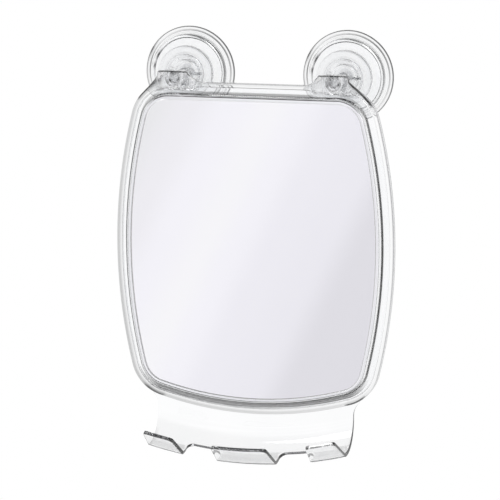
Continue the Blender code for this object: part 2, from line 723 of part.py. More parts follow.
def housing_profile():
    """The hard cup: skirt, rounded shoulder, face, seat for the ring, post with the stud's guide."""
    foot = WEB_FRONT + GAP
    inner = HOUSING_RADIUS - HOUSING_WALL
    shoulder = HOUSING_RADIUS - HOUSING_SHOULDER_WIDTH
    seat = RAMP_OUTER + GAP + RING_WALL + GAP
    bore = POST_RADIUS - POST_WALL
    guide = STUD_SHAFT_RADIUS + GAP
    rise = HOUSING_SHOULDER_HEIGHT - HOUSING_EDGE_HEIGHT
    profile = [(inner, foot), (HOUSING_RADIUS, foot)]
    for step in range(BEND_STEPS + 1):
        angle = math.pi / 2 * step / BEND_STEPS
        profile.append((shoulder + HOUSING_SHOULDER_WIDTH * math.cos(angle),
                        HOUSING_EDGE_HEIGHT + rise * math.sin(angle)))
    profile += [(RING_RADIUS + GAP, HOUSING_FACE_HEIGHT), (seat, HOUSING_FACE_HEIGHT)]
    profile += [(seat, RING_SEAT_HEIGHT), (POST_RADIUS, RING_SEAT_HEIGHT), (POST_RADIUS, POST_TOP)]
    profile += [(bore, POST_TOP), (bore, SLOT_FLOOR), (guide, SLOT_FLOOR), (guide, GUIDE_HEIGHT)]
    profile += [(bore, GUIDE_HEIGHT), (bore, HOUSING_ROOF_HEIGHT)]
    profile += [(shoulder - HOUSING_WALL, HOUSING_ROOF_HEIGHT), (inner, HOUSING_EDGE_HEIGHT)]
    return profile


def ring_profile():
    """The lock ring: collar under the cross pin, web, groove behind, rounded rim to hold it by."""
    low = RING_SEAT_HEIGHT + GAP
    face = HOUSING_FACE_HEIGHT + GAP
    wall = RAMP_OUTER + RING_WALL
    rim = RING_RADIUS - RING_RIM_WIDTH
    groove = rim - RING_GROOVE_WIDTH
    under_flange = STEM_FLANGE_BOTTOM - GAP
    crown = under_flange + RING_CROWN
    profile = [(RING_BORE, low), (wall + GAP, low), (wall + GAP, face), (groove, face)]
    profile += [(groove, RING_GROOVE_ROOF), (rim, RING_GROOVE_ROOF), (rim, face), (RING_RADIUS, face)]
    profile += arc_points((RING_RADIUS - RING_ROUND, crown - RING_ROUND), RING_ROUND, 0, 90, ROUND_STEPS)
    profile += [(STEM_FLANGE_RADIUS + RING_CROWN, crown), (STEM_FLANGE_RADIUS + GAP, under_flange)]
    profile += [(wall, under_flange), (wall, RAMP_HIGH), (RING_BORE, RAMP_HIGH)]
    return profile


def sector_rows(start_deg, end_deg, low, high, steps):
    """Rows of a sector about the Y axis; low gives its floor's height at each angle."""
    inner = RING_BORE - OVERRUN / 2
    rows = []
    for step in range(steps + 1):
        turn = start_deg + (end_deg - start_deg) * step / steps
        angle = math.radians(turn)
        floor = low(turn)
        rows.append([(radius * math.cos(angle), -height, -radius * math.sin(angle))
                     for radius, height in ((inner, floor), (RAMP_OUTER, floor), (RAMP_OUTER, high),
                                            (inner, high))])
    return rows


def ramp_floor(turn):
    """Height of the ramp at an angle about +Y: level at the pin's rest, then rising."""
    return RAMP_LOW + PULL_TRAVEL * min(max(-turn / RAMP_TURN_DEG, 0.0), 1.0)


def make_lock_ring(word, mesh, clear, axis):
    """The twist ring with its two ramps and the two notches that let it pass the pin."""
    ring = add_object(word + "_lock_ring", mesh, clear, axis)
    top = RAMP_HIGH + GAP
    bottom = RING_SEAT_HEIGHT - OVERRUN
    for half in (0, 180):
        ramp = sector_rows(half + RAMP_ENTRY_DEG, half, lambda turn: RAMP_LOW, top, 1)
        ramp += sector_rows(half, half - RAMP_TURN_DEG,
                            lambda turn: ramp_floor(turn - half), top, RAMP_STEPS)[1:]
        notch = sector_rows(half + NOTCH_START_DEG, half + NOTCH_END_DEG,
                            lambda turn: bottom, top, NOTCH_STEPS)
        for what, rows in (("ramp", ramp), ("notch", notch)):
            name = f"{word}_{what}_{half}"
            tool = add_tool(name, mesh_from_rows(name, rows), clear, axis)
            combine(ring, tool, "DIFFERENCE")


def stem_profile():
    """The ball stem: flange welded to the post, tapering neck, ball."""
    edge = STEM_FLANGE_RADIUS - STEM_FLANGE_ROUND
    recess = STUD_SHAFT_RADIUS + GAP
    profile = [(0, STEM_FLANGE_BOTTOM + STEM_RECESS), (recess, STEM_FLANGE_BOTTOM + STEM_RECESS)]
    profile += [(recess, STEM_FLANGE_BOTTOM), (edge, STEM_FLANGE_BOTTOM)]
    profile += [(STEM_FLANGE_RADIUS, STEM_FLANGE_BOTTOM + STEM_FLANGE_ROUND)]
    profile += [(STEM_FLANGE_RADIUS, STEM_FLANGE_TOP - STEM_FLANGE_ROUND), (edge, STEM_FLANGE_TOP)]
    for step in range(BEND_STEPS + 1):
        share = step / BEND_STEPS
        width = (NECK_ROOT_RADIUS - NECK_RADIUS) * (1 - share) ** 2
        profile.append((NECK_RADIUS + width, STEM_FLANGE_TOP + NECK_TAPER * share))
    profile += sphere_profile(BALL_RADIUS, math.pi - math.asin(NECK_RADIUS / BALL_RADIUS), 0)[:-1]
    profile.append((0, PIVOT_HEIGHT + BALL_RADIUS))
    return profile


def cylinder_rows(radius, half_length, height):
    """Rows of a rod along X at a height from the wall."""
    rows = []
    for x in (-half_length, half_length):
        rows.append([(x, -height + radius * math.cos(2 * math.pi * step / PIN_STEPS),
                      radius * math.sin(2 * math.pi * step / PIN_STEPS)) for step in range(PIN_STEPS)])
    return rows


def slot_rows():
    """The slot across the post that lets the cross pin travel, open at the post's end."""
    half = PIN_RADIUS + GAP
    reach = POST_RADIUS + OVERRUN
    rows = []
    for x in (-reach, reach):
        rows.append([(x, -SLOT_FLOOR, -half), (x, -SLOT_FLOOR, half),
                     (x, -POST_TOP - OVERRUN, half), (x, -POST_TOP - OVERRUN, -half)])
    return rows


def make_cups(finishes):
    """Both suction cups, each a copy at its own place."""
    clear = finishes["clear"]
    meshes = {
        "membrane": mesh_from_rows("suction_membrane", turned_rows(membrane_profile(), CUP_STEPS)),
        "housing": mesh_from_rows("cup_housing", turned_rows(housing_profile(), HOUSING_STEPS), True),
        "ring": mesh_from_rows("lock_ring", turned_rows(ring_profile(), HOUSING_STEPS), True),
        "stud": mesh_from_rows("pull_stud", turned_rows(stud_profile(), STUD_STEPS)),
        "pin": mesh_from_rows("cross_pin", cylinder_rows(PIN_RADIUS, PIN_HALF_LENGTH, PIN_HEIGHT)),
        "stem": mesh_from_rows("ball_stem", turned_rows(stem_profile(), STEM_STEPS)),
    }
    for side, word in ((-1, "left"), (1, "right")):
        axis = add_axis(word + "_cup_axis", side * HALF_SPACING, 0, 0)
        add_object(word + "_suction_membrane", meshes["membrane"], finishes["soft"], axis)
        housing = add_object(word + "_cup_housing", meshes["housing"], clear, axis)
        slot = add_tool(word + "_pin_slot", mesh_from_rows(word + "_pin_slot", slot_rows()), clear, axis)
        combine(housing, slot, "DIFFERENCE")
        make_lock_ring(word, meshes["ring"], clear, axis)
        stud = add_object(word + "_pull_stud", meshes["stud"], finishes["natural"], axis)
        hole = add_tool(word + "_pin_hole", mesh_from_rows(
            word + "_pin_hole",
            cylinder_rows(PIN_RADIUS + GAP, STUD_SHAFT_RADIUS + OVERRUN, PIN_HEIGHT)), clear, axis)
        combine(stud, hole, "DIFFERENCE")
        add_object(word + "_cross_pin", meshes["pin"], finishes["steel"], axis)
        add_object(word + "_ball_stem", meshes["stem"], clear, axis)


def make_finishes():
    """The part's materials."""
    return {
        "clear": material("clear_plastic", (0.94, 0.95, 0.96), 0.04, transmission=0.9),
        "soft": material("soft_clear_vinyl", (0.92, 0.94, 0.95), 0.12, transmission=0.8),
        "film": material("antifog_coating", (0.93, 0.93, 0.97), 0.05, transmission=0.9),
        "mirror": material("silvered_mirror", (0.92, 0.92, 0.94), 0.02, metallic=1.0),
        "foam": material("white_foam", (0.82, 0.82, 0.83), 0.8),
        "natural": material("natural_plastic", (0.92, 0.93, 0.94), 0.2, transmission=0.8),
        "steel": material("stainless_steel", (0.62, 0.63, 0.65), 0.25, metallic=1.0),
    }


def main():
    """Build the whole mirror."""
    clear_scene()
    finishes = make_finishes()
    tilt = add_axis("tilt_axis", 0, -PIVOT_HEIGHT, 0)
    make_frame(finishes["clear"], tilt)
    make_layers(finishes, tilt)
    make_ball_seats(finishes["natural"], tilt)
    make_hook_rail(finishes["clear"], tilt)
    make_cups(finishes)


main()
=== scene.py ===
# %% [markdown]
# # A fogless shower mirror in clear plastic
# This lesson dresses a finished set of solids. The solids say where every piece is and how it moves, so
# nothing here moves or resizes them. Each new piece is modelled in their place, in metres, with +Z up and
# the wall at y = 0. The object is nearly all clear plastic, so its look comes from clean curved surfaces,
# from what they bend into view and from shade painted along its edges, far more than from its own colour.

# %% Load the frame
import math

import bmesh
import bpy
import numpy as np
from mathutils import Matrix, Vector


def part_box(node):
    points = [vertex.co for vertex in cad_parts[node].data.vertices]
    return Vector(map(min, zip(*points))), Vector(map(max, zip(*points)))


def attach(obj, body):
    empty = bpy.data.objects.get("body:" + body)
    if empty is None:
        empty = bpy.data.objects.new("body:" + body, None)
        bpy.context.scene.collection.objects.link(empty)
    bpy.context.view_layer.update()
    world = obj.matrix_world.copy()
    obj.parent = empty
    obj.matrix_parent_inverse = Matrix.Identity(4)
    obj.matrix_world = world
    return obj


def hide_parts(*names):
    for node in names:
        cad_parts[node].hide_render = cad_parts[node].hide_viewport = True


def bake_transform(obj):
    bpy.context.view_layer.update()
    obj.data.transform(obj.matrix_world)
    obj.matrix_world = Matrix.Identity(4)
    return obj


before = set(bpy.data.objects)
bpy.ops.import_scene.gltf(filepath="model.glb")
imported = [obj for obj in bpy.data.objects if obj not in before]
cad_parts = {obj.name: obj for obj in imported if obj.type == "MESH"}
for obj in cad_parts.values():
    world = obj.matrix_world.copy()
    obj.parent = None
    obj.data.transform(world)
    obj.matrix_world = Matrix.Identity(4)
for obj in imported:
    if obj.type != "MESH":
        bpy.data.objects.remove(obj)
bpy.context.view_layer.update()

MM = 0.001

# %% [markdown]
# ## Places and sizes
# The frame tells where things are: the mirror's surface, the balls that it tilts on and the cup centres.
# The sizes of the mirror's opening are written once here, because the frame and all that lies in it are
# drawn from them.

# %% Places read from the solids
cup_low, cup_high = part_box("right_suction_membrane")
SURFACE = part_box("mirror_pane")[0].y
CUP_X = (cup_low.x + cup_high.x) / 2
CUP_RADIUS = (cup_high.x - cup_low.x) / 2

# %% Sizes of the mirror opening
OPENING_HALF_WIDTH = 78.7 * MM
OPENING_TOP = 90.3 * MM
OPENING_BOTTOM = 96.0 * MM
OPENING_SIDE_RADIUS = 317.4 * MM
OPENING_BOTTOM_RADIUS = 205.6 * MM
OPENING_CORNER_RADIUS = 15.7 * MM
CUP_RISE = 12.6 * MM
MIRROR_DROP = OPENING_TOP + CUP_RISE
GAP = 0.3 * MM
print("cups at x =", round(CUP_X / MM, 1), "mm, mirror surface at y =", round(SURFACE / MM, 1), "mm")

# %% [markdown]
# ## Finishes
# Clear plastic is one shader with its transmission at one and a refractive index near 1.5. A real moulding
# is never optically flat: it has slow waves from the mould and a few handling marks. Two noise patterns,
# a slow one for the waves and a fine one for roughness, keep it from looking like a computer's glass.
#
# Thin creases and edges of a real moulding trap light and read as dark lines. Traced light alone finds only
# some of them, so the rest is painted shade: the meshes store a value at each point, from 0 to 1, and the
# finish darkens its colour by it. On the mirror the same value is its dark backing paint. The value lies on
# the surface, so a line stays where it is from every side.

# %% Helpers for nodes
def add_node(tree, kind, inputs=(), **settings):
    """A node with its settings. Each input gets a value, or a link from another node's socket."""
    node = tree.nodes.new("ShaderNode" + kind)
    for name, value in settings.items():
        setattr(node, name, value)
    for socket, value in dict(inputs).items():
        if isinstance(value, bpy.types.NodeSocket):
            tree.links.new(value, node.inputs[socket])
        else:
            node.inputs[socket].default_value = value
    return node


def mix_colours(tree, share, first, second, blend="MIX"):
    """Two colours mixed or multiplied."""
    inputs = {0: share, 6: first, 7: second}
    return add_node(tree, "Mix", inputs, data_type="RGBA", blend_type=blend).outputs[2]


def add_ramp(tree, value, stops, interpolation="LINEAR"):
    """A value turned into a colour, from (position, colour) stops in rising order."""
    node = add_node(tree, "ValToRGB", {"Fac": value})
    node.color_ramp.interpolation = interpolation
    for position, _ in stops[1:-1]:
        node.color_ramp.elements.new(position)
    for element, (position, colour) in zip(node.color_ramp.elements, stops):
        element.position = position
        element.color = (*colour, 1.0)
    return node.outputs["Color"]


def add_noise(tree, scale, detail, stretch=(1.0, 1.0, 1.0)):
    """A noise pattern fixed to the object, and its value."""
    place = add_node(tree, "TexCoord").outputs["Object"]
    mapped = add_node(tree, "Mapping", {"Vector": place, "Scale": stretch}).outputs["Vector"]
    return add_node(tree, "TexNoise", {"Vector": mapped, "Scale": scale, "Detail": detail}).outputs["Fac"]


def spread_value(tree, value, low, high):
    """The pattern's middle range stretched over two values."""
    inputs = {"Value": value, "From Min": 0.3, "From Max": 0.7, "To Min": low, "To Max": high}
    return add_node(tree, "MapRange", inputs).outputs["Result"]


# %% Helpers for materials
def shader_input(made, socket):
    """A socket of the material's own shader."""
    return made.node_tree.nodes["Principled BSDF"].inputs[socket]


def finish(name, colour, roughness, **sockets):
    """A Principled material; what is the same all over is set on the shader itself."""
    made = bpy.data.materials.new(name)
    made.use_nodes = True
    shader_input(made, "Base Color").default_value = (*colour, 1.0)
    shader_input(made, "Roughness").default_value = roughness
    for socket, value in sockets.items():
        shader_input(made, socket.replace("_", " ")).default_value = value
    return made


def vary_roughness(made, scale, low, high):
    """Fine marks: the roughness wanders between two values."""
    tree = made.node_tree
    marks = spread_value(tree, add_noise(tree, scale, 4.0), low, high)
    tree.links.new(marks, shader_input(made, "Roughness"))


def vary_colour(made, scale, dark, light):
    """The colour wanders between two shades."""
    tree = made.node_tree
    share = spread_value(tree, add_noise(tree, scale, 3.0), 0.0, 1.0)
    tree.links.new(mix_colours(tree, share, (*dark, 1.0), (*light, 1.0)), shader_input(made, "Base Color"))


def shade_colour(made, shade):
    """The colour so far, multiplied by a shade."""
    base = shader_input(made, "Base Color")
    tree = made.node_tree
    tree.links.new(mix_colours(tree, 1.0, base.links[0].from_socket, shade, "MULTIPLY"), base)


def darken_edges(made, stops):
    """Painted shade at the edges: the colour darkens by how far the surface turns away: (turn, brightness)
    stops.
    """
    facing = add_node(made.node_tree, "LayerWeight", {"Blend": 0.5}).outputs["Facing"]
    shade_colour(made, add_ramp(made.node_tree, facing, [(turn, (shade,) * 3) for turn, shade in stops]))


def darken_by_shade_and_backing(made):
    """Darken the colour by the value that the mesh stores: painted shade, and on the mirror its backing
    paint.
    """
    shade_and_backing = add_node(made.node_tree, "Attribute", attribute_name="shade_and_backing").outputs["Fac"]
    shade_colour(made, add_node(made.node_tree, "Math", {0: 1.0, 1: shade_and_backing}, operation="SUBTRACT").outputs[0])


def add_waves(made, scale, depth, stretch=(1.0, 1.0, 1.0)):
    """Surface waves: a bump of this depth."""
    height = add_noise(made.node_tree, scale, 2.0, stretch)
    bump = add_node(made.node_tree, "Bump", {"Distance": depth, "Strength": 1.0, "Height": height})
    made.node_tree.links.new(bump.outputs["Normal"], shader_input(made, "Normal"))


# %% Clear moulding, with the mould's slow waves
EDGE_STOPS = ((0.6, 1.0), (0.8, 0.85), (0.9, 0.5), (1.0, 0.2))
WAVE_DEPTH = 0.02 * MM
PLASTIC_IOR = 1.49

CLEAR = finish("clear_moulding", (0.985, 0.988, 0.99), 0.01, Transmission_Weight=1.0, IOR=PLASTIC_IOR)
vary_colour(CLEAR, 30.0, (0.975, 0.98, 0.985), (0.995, 0.997, 1.0))
# painted shade: the colour darkens at edges that turn away and along the lines that the mesh stores
darken_edges(CLEAR, EDGE_STOPS)
darken_by_shade_and_backing(CLEAR)
vary_roughness(CLEAR, 300.0, 0.0, 0.02)
add_waves(CLEAR, 45.0, WAVE_DEPTH)

# %% Clear plastic with the faint grain of a worn mould, for the cups' inner parts
GRAINED = finish("grained_moulding", (0.99, 0.992, 0.995), 0.14, Transmission_Weight=1.0, IOR=PLASTIC_IOR)
vary_colour(GRAINED, 40.0, (0.98, 0.985, 0.99), (0.997, 0.998, 1.0))
vary_roughness(GRAINED, 300.0, 0.14, 0.22)
add_waves(GRAINED, 60.0, WAVE_DEPTH)

# %% Soft vinyl: a little cloudy, with a skin that isn't quite smooth
VINYL = finish("soft_vinyl", (0.97, 0.975, 0.98), 0.06, Transmission_Weight=1.0, IOR=1.41)
vary_colour(VINYL, 60.0, (0.97, 0.975, 0.98), (0.99, 0.993, 0.996))
# painted shade: the colour darkens at edges that turn away and along the lines that the mesh stores
darken_edges(VINYL, EDGE_STOPS)
darken_by_shade_and_backing(VINYL)
vary_roughness(VINYL, 200.0, 0.28, 0.36)
add_waves(VINYL, 120.0, WAVE_DEPTH)

# %% Mirror: faintly uneven silvering, painted dark on its edge and back where the stored value says so
SILVER = finish("silvering", (0.95, 0.95, 0.955), 0.015, Metallic=1.0)
vary_colour(SILVER, 9.0, (0.945, 0.945, 0.95), (0.96, 0.96, 0.965))
darken_by_shade_and_backing(SILVER)
vary_roughness(SILVER, 30.0, 0.01, 0.02)

# %% The thin coated film that keeps the mirror from fogging, and white closed-cell foam
FILM = finish("fogless_film", (0.99, 0.99, 1.0), 0.02, Transmission_Weight=1.0, IOR=1.38)
vary_roughness(FILM, 25.0, 0.0, 0.02)

FOAM = finish("white_foam", (0.8, 0.8, 0.81), 0.8)
vary_colour(FOAM, 900.0, (0.74, 0.74, 0.75), (0.84, 0.84, 0.85))
vary_roughness(FOAM, 400.0, 0.7, 0.9)
add_waves(FOAM, 1500.0, 0.15 * MM)

# %% Undyed plastic of the seats and studs, and drawn stainless wire with fine marks along its length
NATURAL = finish("natural_plastic", (0.97, 0.975, 0.98), 0.1, Transmission_Weight=1.0, IOR=1.45)
vary_colour(NATURAL, 150.0, (0.96, 0.965, 0.97), (0.99, 0.993, 0.996))
vary_roughness(NATURAL, 600.0, 0.06, 0.16)

STEEL = finish("stainless_wire", (0.66, 0.67, 0.68), 0.25, Metallic=1.0)
vary_colour(STEEL, 200.0, (0.6, 0.61, 0.62), (0.72, 0.73, 0.74))
vary_roughness(STEEL, 900.0, 0.15, 0.35)
add_waves(STEEL, 800.0, WAVE_DEPTH, stretch=(0.05, 1.0, 1.0))
print("finishes:", ", ".join(made.name for made in bpy.data.materials))

# %% [markdown]
# ## Making and placing pieces
# Most pieces are rows of points skinned into a closed mesh. One helper does the skinning, and one hangs the
# finished piece on its moving body and hides the plain solid that it stands for.

# %% Helpers for meshes
def as_mesh(bm, name):
    """What was drawn as a mesh, with its faces turned alike."""
    bmesh.ops.recalc_face_normals(bm, faces=bm.faces)
    mesh = bpy.data.meshes.new(name)
    bm.to_mesh(mesh)
    bm.free()
    return mesh


def skin(name, rows, closed_rows=False):
    """A closed mesh over rows of points. A row of one point is a tip."""
    bm = bmesh.new()
    made = [[bm.verts.new(point) for point in row] for row in rows]
    pairs = list(zip(made, made[1:]))
    if closed_rows:
        pairs.append((made[-1], made[0]))
    for first, second in pairs:
        count = max(len(first), len(second))
        for index in range(count):
            after = (index + 1) % count
            face = []
            for vert in (first[index % len(first)], first[after % len(first)],
                         second[after % len(second)], second[index % len(second)]):
                if vert not in face:
                    face.append(vert)
            bm.faces.new(face)
    if not closed_rows:
        for row in (made[0], made[-1]):
            if len(row) > 2:
                bm.faces.new(row)
    return as_mesh(bm, name)


def store_shade_and_backing(mesh, values):
    """Store at each point how much the colour darkens, from 0 to 1: painted shade, and on the mirror its
    backing paint.
    """
    layer = mesh.attributes.new("shade_and_backing", "FLOAT", "POINT")
    layer.data.foreach_set("value", values)
    return mesh


def with_painted_shade(points, shade_and_backing):
    """The points of a section, each with the same painted shade."""
    return [(*point, shade_and_backing) for point in points]


def add_object(name, mesh, material):
    """An object of this mesh in the scene."""
    obj = bpy.data.objects.new(name, mesh)
    bpy.context.scene.collection.objects.link(obj)
    mesh.materials.clear()
    mesh.materials.append(material)
    return obj


def settle(obj):
    """Turn the object's modifiers into plain mesh."""
    bpy.context.view_layer.update()
    depsgraph = bpy.context.evaluated_depsgraph_get()
    mesh = bpy.data.meshes.new_from_object(obj.evaluated_get(depsgraph))
    obj.modifiers.clear()
    obj.data = mesh


def place(obj, body, node, soft_edge=30.0):
    """Shade the piece smooth, hang it on its body and hide the solid that it stands for."""
    obj.data.shade_smooth()
    obj.data.set_sharp_from_angle(angle=math.radians(soft_edge))
    if body:
        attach(obj, body)
    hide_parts(node)
    print(f"{obj.name}: {len(obj.data.vertices)} points, stands for {node}")


def arc(centre, radius, start, end, count):
    """Points on an arc between two angles in degrees, ends included."""
    angles = np.radians(np.linspace(start, end, count + 1))
    return [(centre[0] + radius * math.cos(a), centre[1] + radius * math.sin(a)) for a in angles]


def full_turn(steps):
    """Angles all the way round, in radians."""
    return np.linspace(0.0, 2 * math.pi, steps, endpoint=False)


def turn_from(start, end):
    """The direction from one point to another, in degrees."""
    return math.degrees(math.atan2(end[1] - start[1], end[0] - start[0]))


def between(start, end, share):
    """The value between two others."""
    return start + (end - start) * min(max(share, 0.0), 1.0)


def smooth(share):
    """A soft step from 0 to 1."""
    share = min(max(share, 0.0), 1.0)
    return share * share * (3.0 - 2.0 * share)


# %% [markdown]
# ## The outline that everything follows
# The mirror's opening is a straight top, two barrel sides and a bowed bottom, with four round corners.
# Each is an arc, so any outline further out is the same arcs with larger radii. A station is one place on
# that outline with the direction that leads straight out from it. Every ring of the moulding is a list of
# stations with a section drawn at each one.

# %% Centres of the arcs
SIDE_CENTRE = (OPENING_HALF_WIDTH - OPENING_SIDE_RADIUS, 0.0)
BOTTOM_CENTRE = (0.0, OPENING_BOTTOM_RADIUS - OPENING_BOTTOM)
TOP_CORNER_Z = OPENING_TOP - OPENING_CORNER_RADIUS
TOP_CORNER = (SIDE_CENTRE[0] + math.sqrt((OPENING_SIDE_RADIUS - OPENING_CORNER_RADIUS) ** 2
                                         - TOP_CORNER_Z ** 2), TOP_CORNER_Z)


def lower_corner():
    """The centre of the lower corner's arc: inside both the side's arc and the bottom's."""
    first, second = Vector(SIDE_CENTRE), Vector(BOTTOM_CENTRE)
    first_radius = OPENING_SIDE_RADIUS - OPENING_CORNER_RADIUS
    second_radius = OPENING_BOTTOM_RADIUS - OPENING_CORNER_RADIUS
    across = second - first
    along = (first_radius ** 2 - second_radius ** 2 + across.length ** 2) / (2 * across.length)
    aside = math.sqrt(first_radius ** 2 - along ** 2)
    unit = across.normalized()
    found = [first + unit * along + Vector((-unit.y, unit.x)) * side * aside for side in (1, -1)]
    return tuple(min(found, key=lambda point: point.y))


BOTTOM_CORNER = lower_corner()
SIDE_START = turn_from(SIDE_CENTRE, TOP_CORNER)
SIDE_END = turn_from(SIDE_CENTRE, BOTTOM_CORNER)
BOTTOM_START = turn_from(BOTTOM_CENTRE, BOTTOM_CORNER)


# %% Stations
def half_outline(step, middle, ear_places=()):
    """Stations of the right half, from the top's middle to the bottom's: point, way out, length so far."""
    stations = []
    top_xs = list(np.linspace(0.0, TOP_CORNER[0], max(2, round(TOP_CORNER[0] / step)) + 1))
    top_xs += [x for kind, x in ear_places if kind == "top"]
    for x in sorted(top_xs):
        stations.append(((x, OPENING_TOP), (0.0, 1.0), x))
    arcs = [(TOP_CORNER, OPENING_CORNER_RADIUS, 90.0, SIDE_START),
            (SIDE_CENTRE, OPENING_SIDE_RADIUS, SIDE_START, SIDE_END),
            (BOTTOM_CORNER, OPENING_CORNER_RADIUS, SIDE_END, BOTTOM_START),
            (BOTTOM_CENTRE, OPENING_BOTTOM_RADIUS, BOTTOM_START, -90.0)]
    length = TOP_CORNER[0]
    for index, (centre, radius, start, end) in enumerate(arcs):
        stretch = math.radians(abs(end - start)) * (radius + middle)
        angles = list(np.linspace(start, end, max(2, round(stretch / step)) + 1))[1:]
        if index == 0:
            angles += [angle for kind, angle in ear_places if kind == "corner"]
        for angle in sorted(angles, reverse=True):
            out = (math.cos(math.radians(angle)), math.sin(math.radians(angle)))
            point = (centre[0] + radius * out[0], centre[1] + radius * out[1])
            stations.append((point, out, length + stretch * (start - angle) / (start - end)))
        length += stretch
    return stations


def whole_outline(half):
    """The stations of both halves, all the way round."""
    left = [((-point[0], point[1]), (-out[0], out[1]), length) for point, out, length in half[1:-1]]
    return half + left[::-1]


def in_frame(x, depth, z):
    """A point given from the mirror's centre and surface; depth runs back to the wall."""
    return (x, SURFACE + depth, z - MIRROR_DROP)


def outline_rows(section, step):
    """Rows round the opening, one for each (offset, depth) of a section."""
    stations = whole_outline(half_outline(step, 0.0))
    return [[in_frame(point[0] + out[0] * offset, depth, point[1] + out[1] * offset)
             for point, out, _ in stations] for offset, depth in section]


half = half_outline(2.0 * MM, 0.0)
print("half outline:", len(half), "stations,", round(half[-1][2] / MM), "mm")

# %% [markdown]
# ## The frame moulding
# On the real object this is one injection moulding: a raised lip that traps the mirror, a steep beaded
# slope, a flat border with a rounded edge, a skirt behind it, and two ears that rise from the top. A swept
# section could give the ring and a Boolean could add the ears, but that leaves a hard line where they meet.
# Here the section itself grows at the ears, so the flares run into the corners without a seam.

# %% Sizes of the moulding
LIP_WIDTH = 2.1 * MM
LIP_PROUD = 1.4 * MM
LIP_ROUND = 0.5 * MM
LIP_OVERHANG = 0.4 * MM
SLOPE_WIDTH = 1.2 * MM
FLANGE_DEPTH = 2.9 * MM
BORDER_WIDTH = 10.1 * MM
BORDER_ROUND = 1.5 * MM
FRAME_WALL = 1.9 * MM
SKIRT_WALL = 3.0 * MM
FRAME_DEPTH = 8.5 * MM
PANE_OVERLAP = 1.6 * MM
EDGE_ROUND = 0.35 * MM
BEAD_PITCH = 1.4 * MM
BEAD_HEIGHT = 0.22 * MM
STATIONS_PER_BEAD = 4

# %% Sizes of the ears
EAR_TOP = 4.5 * MM
EAR_FRONT_HALF_WIDTH = 9.6 * MM
EAR_BACK_HALF_WIDTH = 6.8 * MM
EAR_ROUND = 1.0 * MM
EAR_FLARE = 10.5 * MM
EAR_FILLET = 5.0 * MM
EAR_RAMP = 5.5 * MM


def ear_outline(half_width):
    """An ear's upper edge beside its own centre: inner flare, rounded top, and an outer flare that slants
    down until it touches the border's round corner."""
    side_top = EAR_TOP + MIRROR_DROP - EAR_ROUND
    edge = OPENING_TOP + BORDER_WIDTH
    corner = OPENING_CORNER_RADIUS + BORDER_WIDTH
    corner_centre = (TOP_CORNER[0] - CUP_X, TOP_CORNER[1])
    fillet = (half_width + EAR_FILLET, side_top)
    slant = math.acos((corner + EAR_FILLET) / math.dist(corner_centre, fillet))
    meeting = turn_from(corner_centre, fillet) - math.degrees(slant)
    start = math.degrees(math.acos(min((side_top - edge) / EAR_FLARE, 1.0)))
    points = arc((-half_width - EAR_FLARE, edge + EAR_FLARE), EAR_FLARE, -90, -start, 16)
    points += arc((EAR_ROUND - half_width, side_top), EAR_ROUND, 180, 90, 8)
    points += arc((half_width - EAR_ROUND, side_top), EAR_ROUND, 90, 0, 8)
    points += arc(fillet, EAR_FILLET, 180, 180 + meeting, 12)[1:]
    leaving, landing = Vector(points[-1]), Vector(arc(corner_centre, corner, meeting, meeting, 1)[0])
    points += [tuple(leaving.lerp(landing, share)) for share in np.linspace(0.0, 1.0, 13)[1:]]
    return points


def ear_reach(points):
    """Two lookups of how far the ear reaches: by x over the straight top, by angle round the corner."""
    corner_x = TOP_CORNER[0] - CUP_X
    over_top = [(x, z - OPENING_TOP) for x, z in points if x <= corner_x]
    round_corner = [(turn_from((corner_x, TOP_CORNER[1]), point),
                     math.dist((corner_x, TOP_CORNER[1]), point) - OPENING_CORNER_RADIUS)
                    for point in points if point[0] > corner_x]
    top_z = EAR_TOP + MIRROR_DROP - OPENING_TOP
    over_top.append((corner_x, top_z))
    round_corner.insert(0, (90.0, top_z))
    return over_top, round_corner[::-1]


FORE_TOP, FORE_CORNER = ear_reach(ear_outline(EAR_FRONT_HALF_WIDTH))
AFT_TOP, AFT_CORNER = ear_reach(ear_outline(EAR_BACK_HALF_WIDTH))
print("ear rises", round((FORE_TOP[-1][1] - BORDER_WIDTH) / MM, 1), "mm above the border")


def reach_at(point, out, top, corner):
    """How far the moulding reaches out at a station of the right half."""
    if out == (0.0, 1.0):
        found = np.interp(point[0] - CUP_X, *zip(*top), left=BORDER_WIDTH)
    elif point[1] > 0 and point[0] > TOP_CORNER[0]:
        angle = math.degrees(math.atan2(out[1], out[0]))
        found = np.interp(angle, *zip(*corner), left=BORDER_WIDTH)
    else:
        found = BORDER_WIDTH
    return max(float(found), BORDER_WIDTH)


# %% [markdown]
# ## Painted shade where the moulding reads dark
# On the real frame some lines are nearly black: the mirror's edge under the lip, the slope's foot down both
# sides, a band above and below the mirror, the ears' outer flares and the places where the rail's corners
# meet the border. Here these lines are painted shade. A painted picture would slip when a size changes, so
# each point of the section carries its own value of painted shade, and a line follows its edge. The value
# fades along the whole stretch between two points, so a dark point has a clear one close by.

# %% How dark the painted shade is at each place on the moulding, from 0 to 1
LIP_SHADE = 0.15
LIP_INNER_SHADE = 0.95
TOP_SHADE = 0.78
BOTTOM_SHADE = 0.93
FOOT_SHADE = 0.99
WALL_SHADE = 0.6
WALL_SHADE_FALL = 0.35
WALL_MIDDLE_SHADE = 0.3
EDGE_SHADE = 0.7
EAR_SHADE = 0.9
EAR_EDGE_SHADE = 0.35
FLARE_SHADE = 0.99
FLARE_START = 80.0
FLARE_END = 30.0
RAIL_JOINT_SHADE = 0.98
RAIL_JOINT_LENGTH = 3.0 * MM
RAIL_JOINT_X = 60.5 * MM

# %% How the band of painted shade past the slope's foot fades: offset, share at the top, share at the bottom
SHADE_BAND = ((4.4 * MM, 1.0, 1.0), (4.7 * MM, 0.3, 0.85), (5.0 * MM, 0.0, 1.0), (5.5 * MM, 0.0, 1.0),
        (5.8 * MM, 0.0, 0.0))
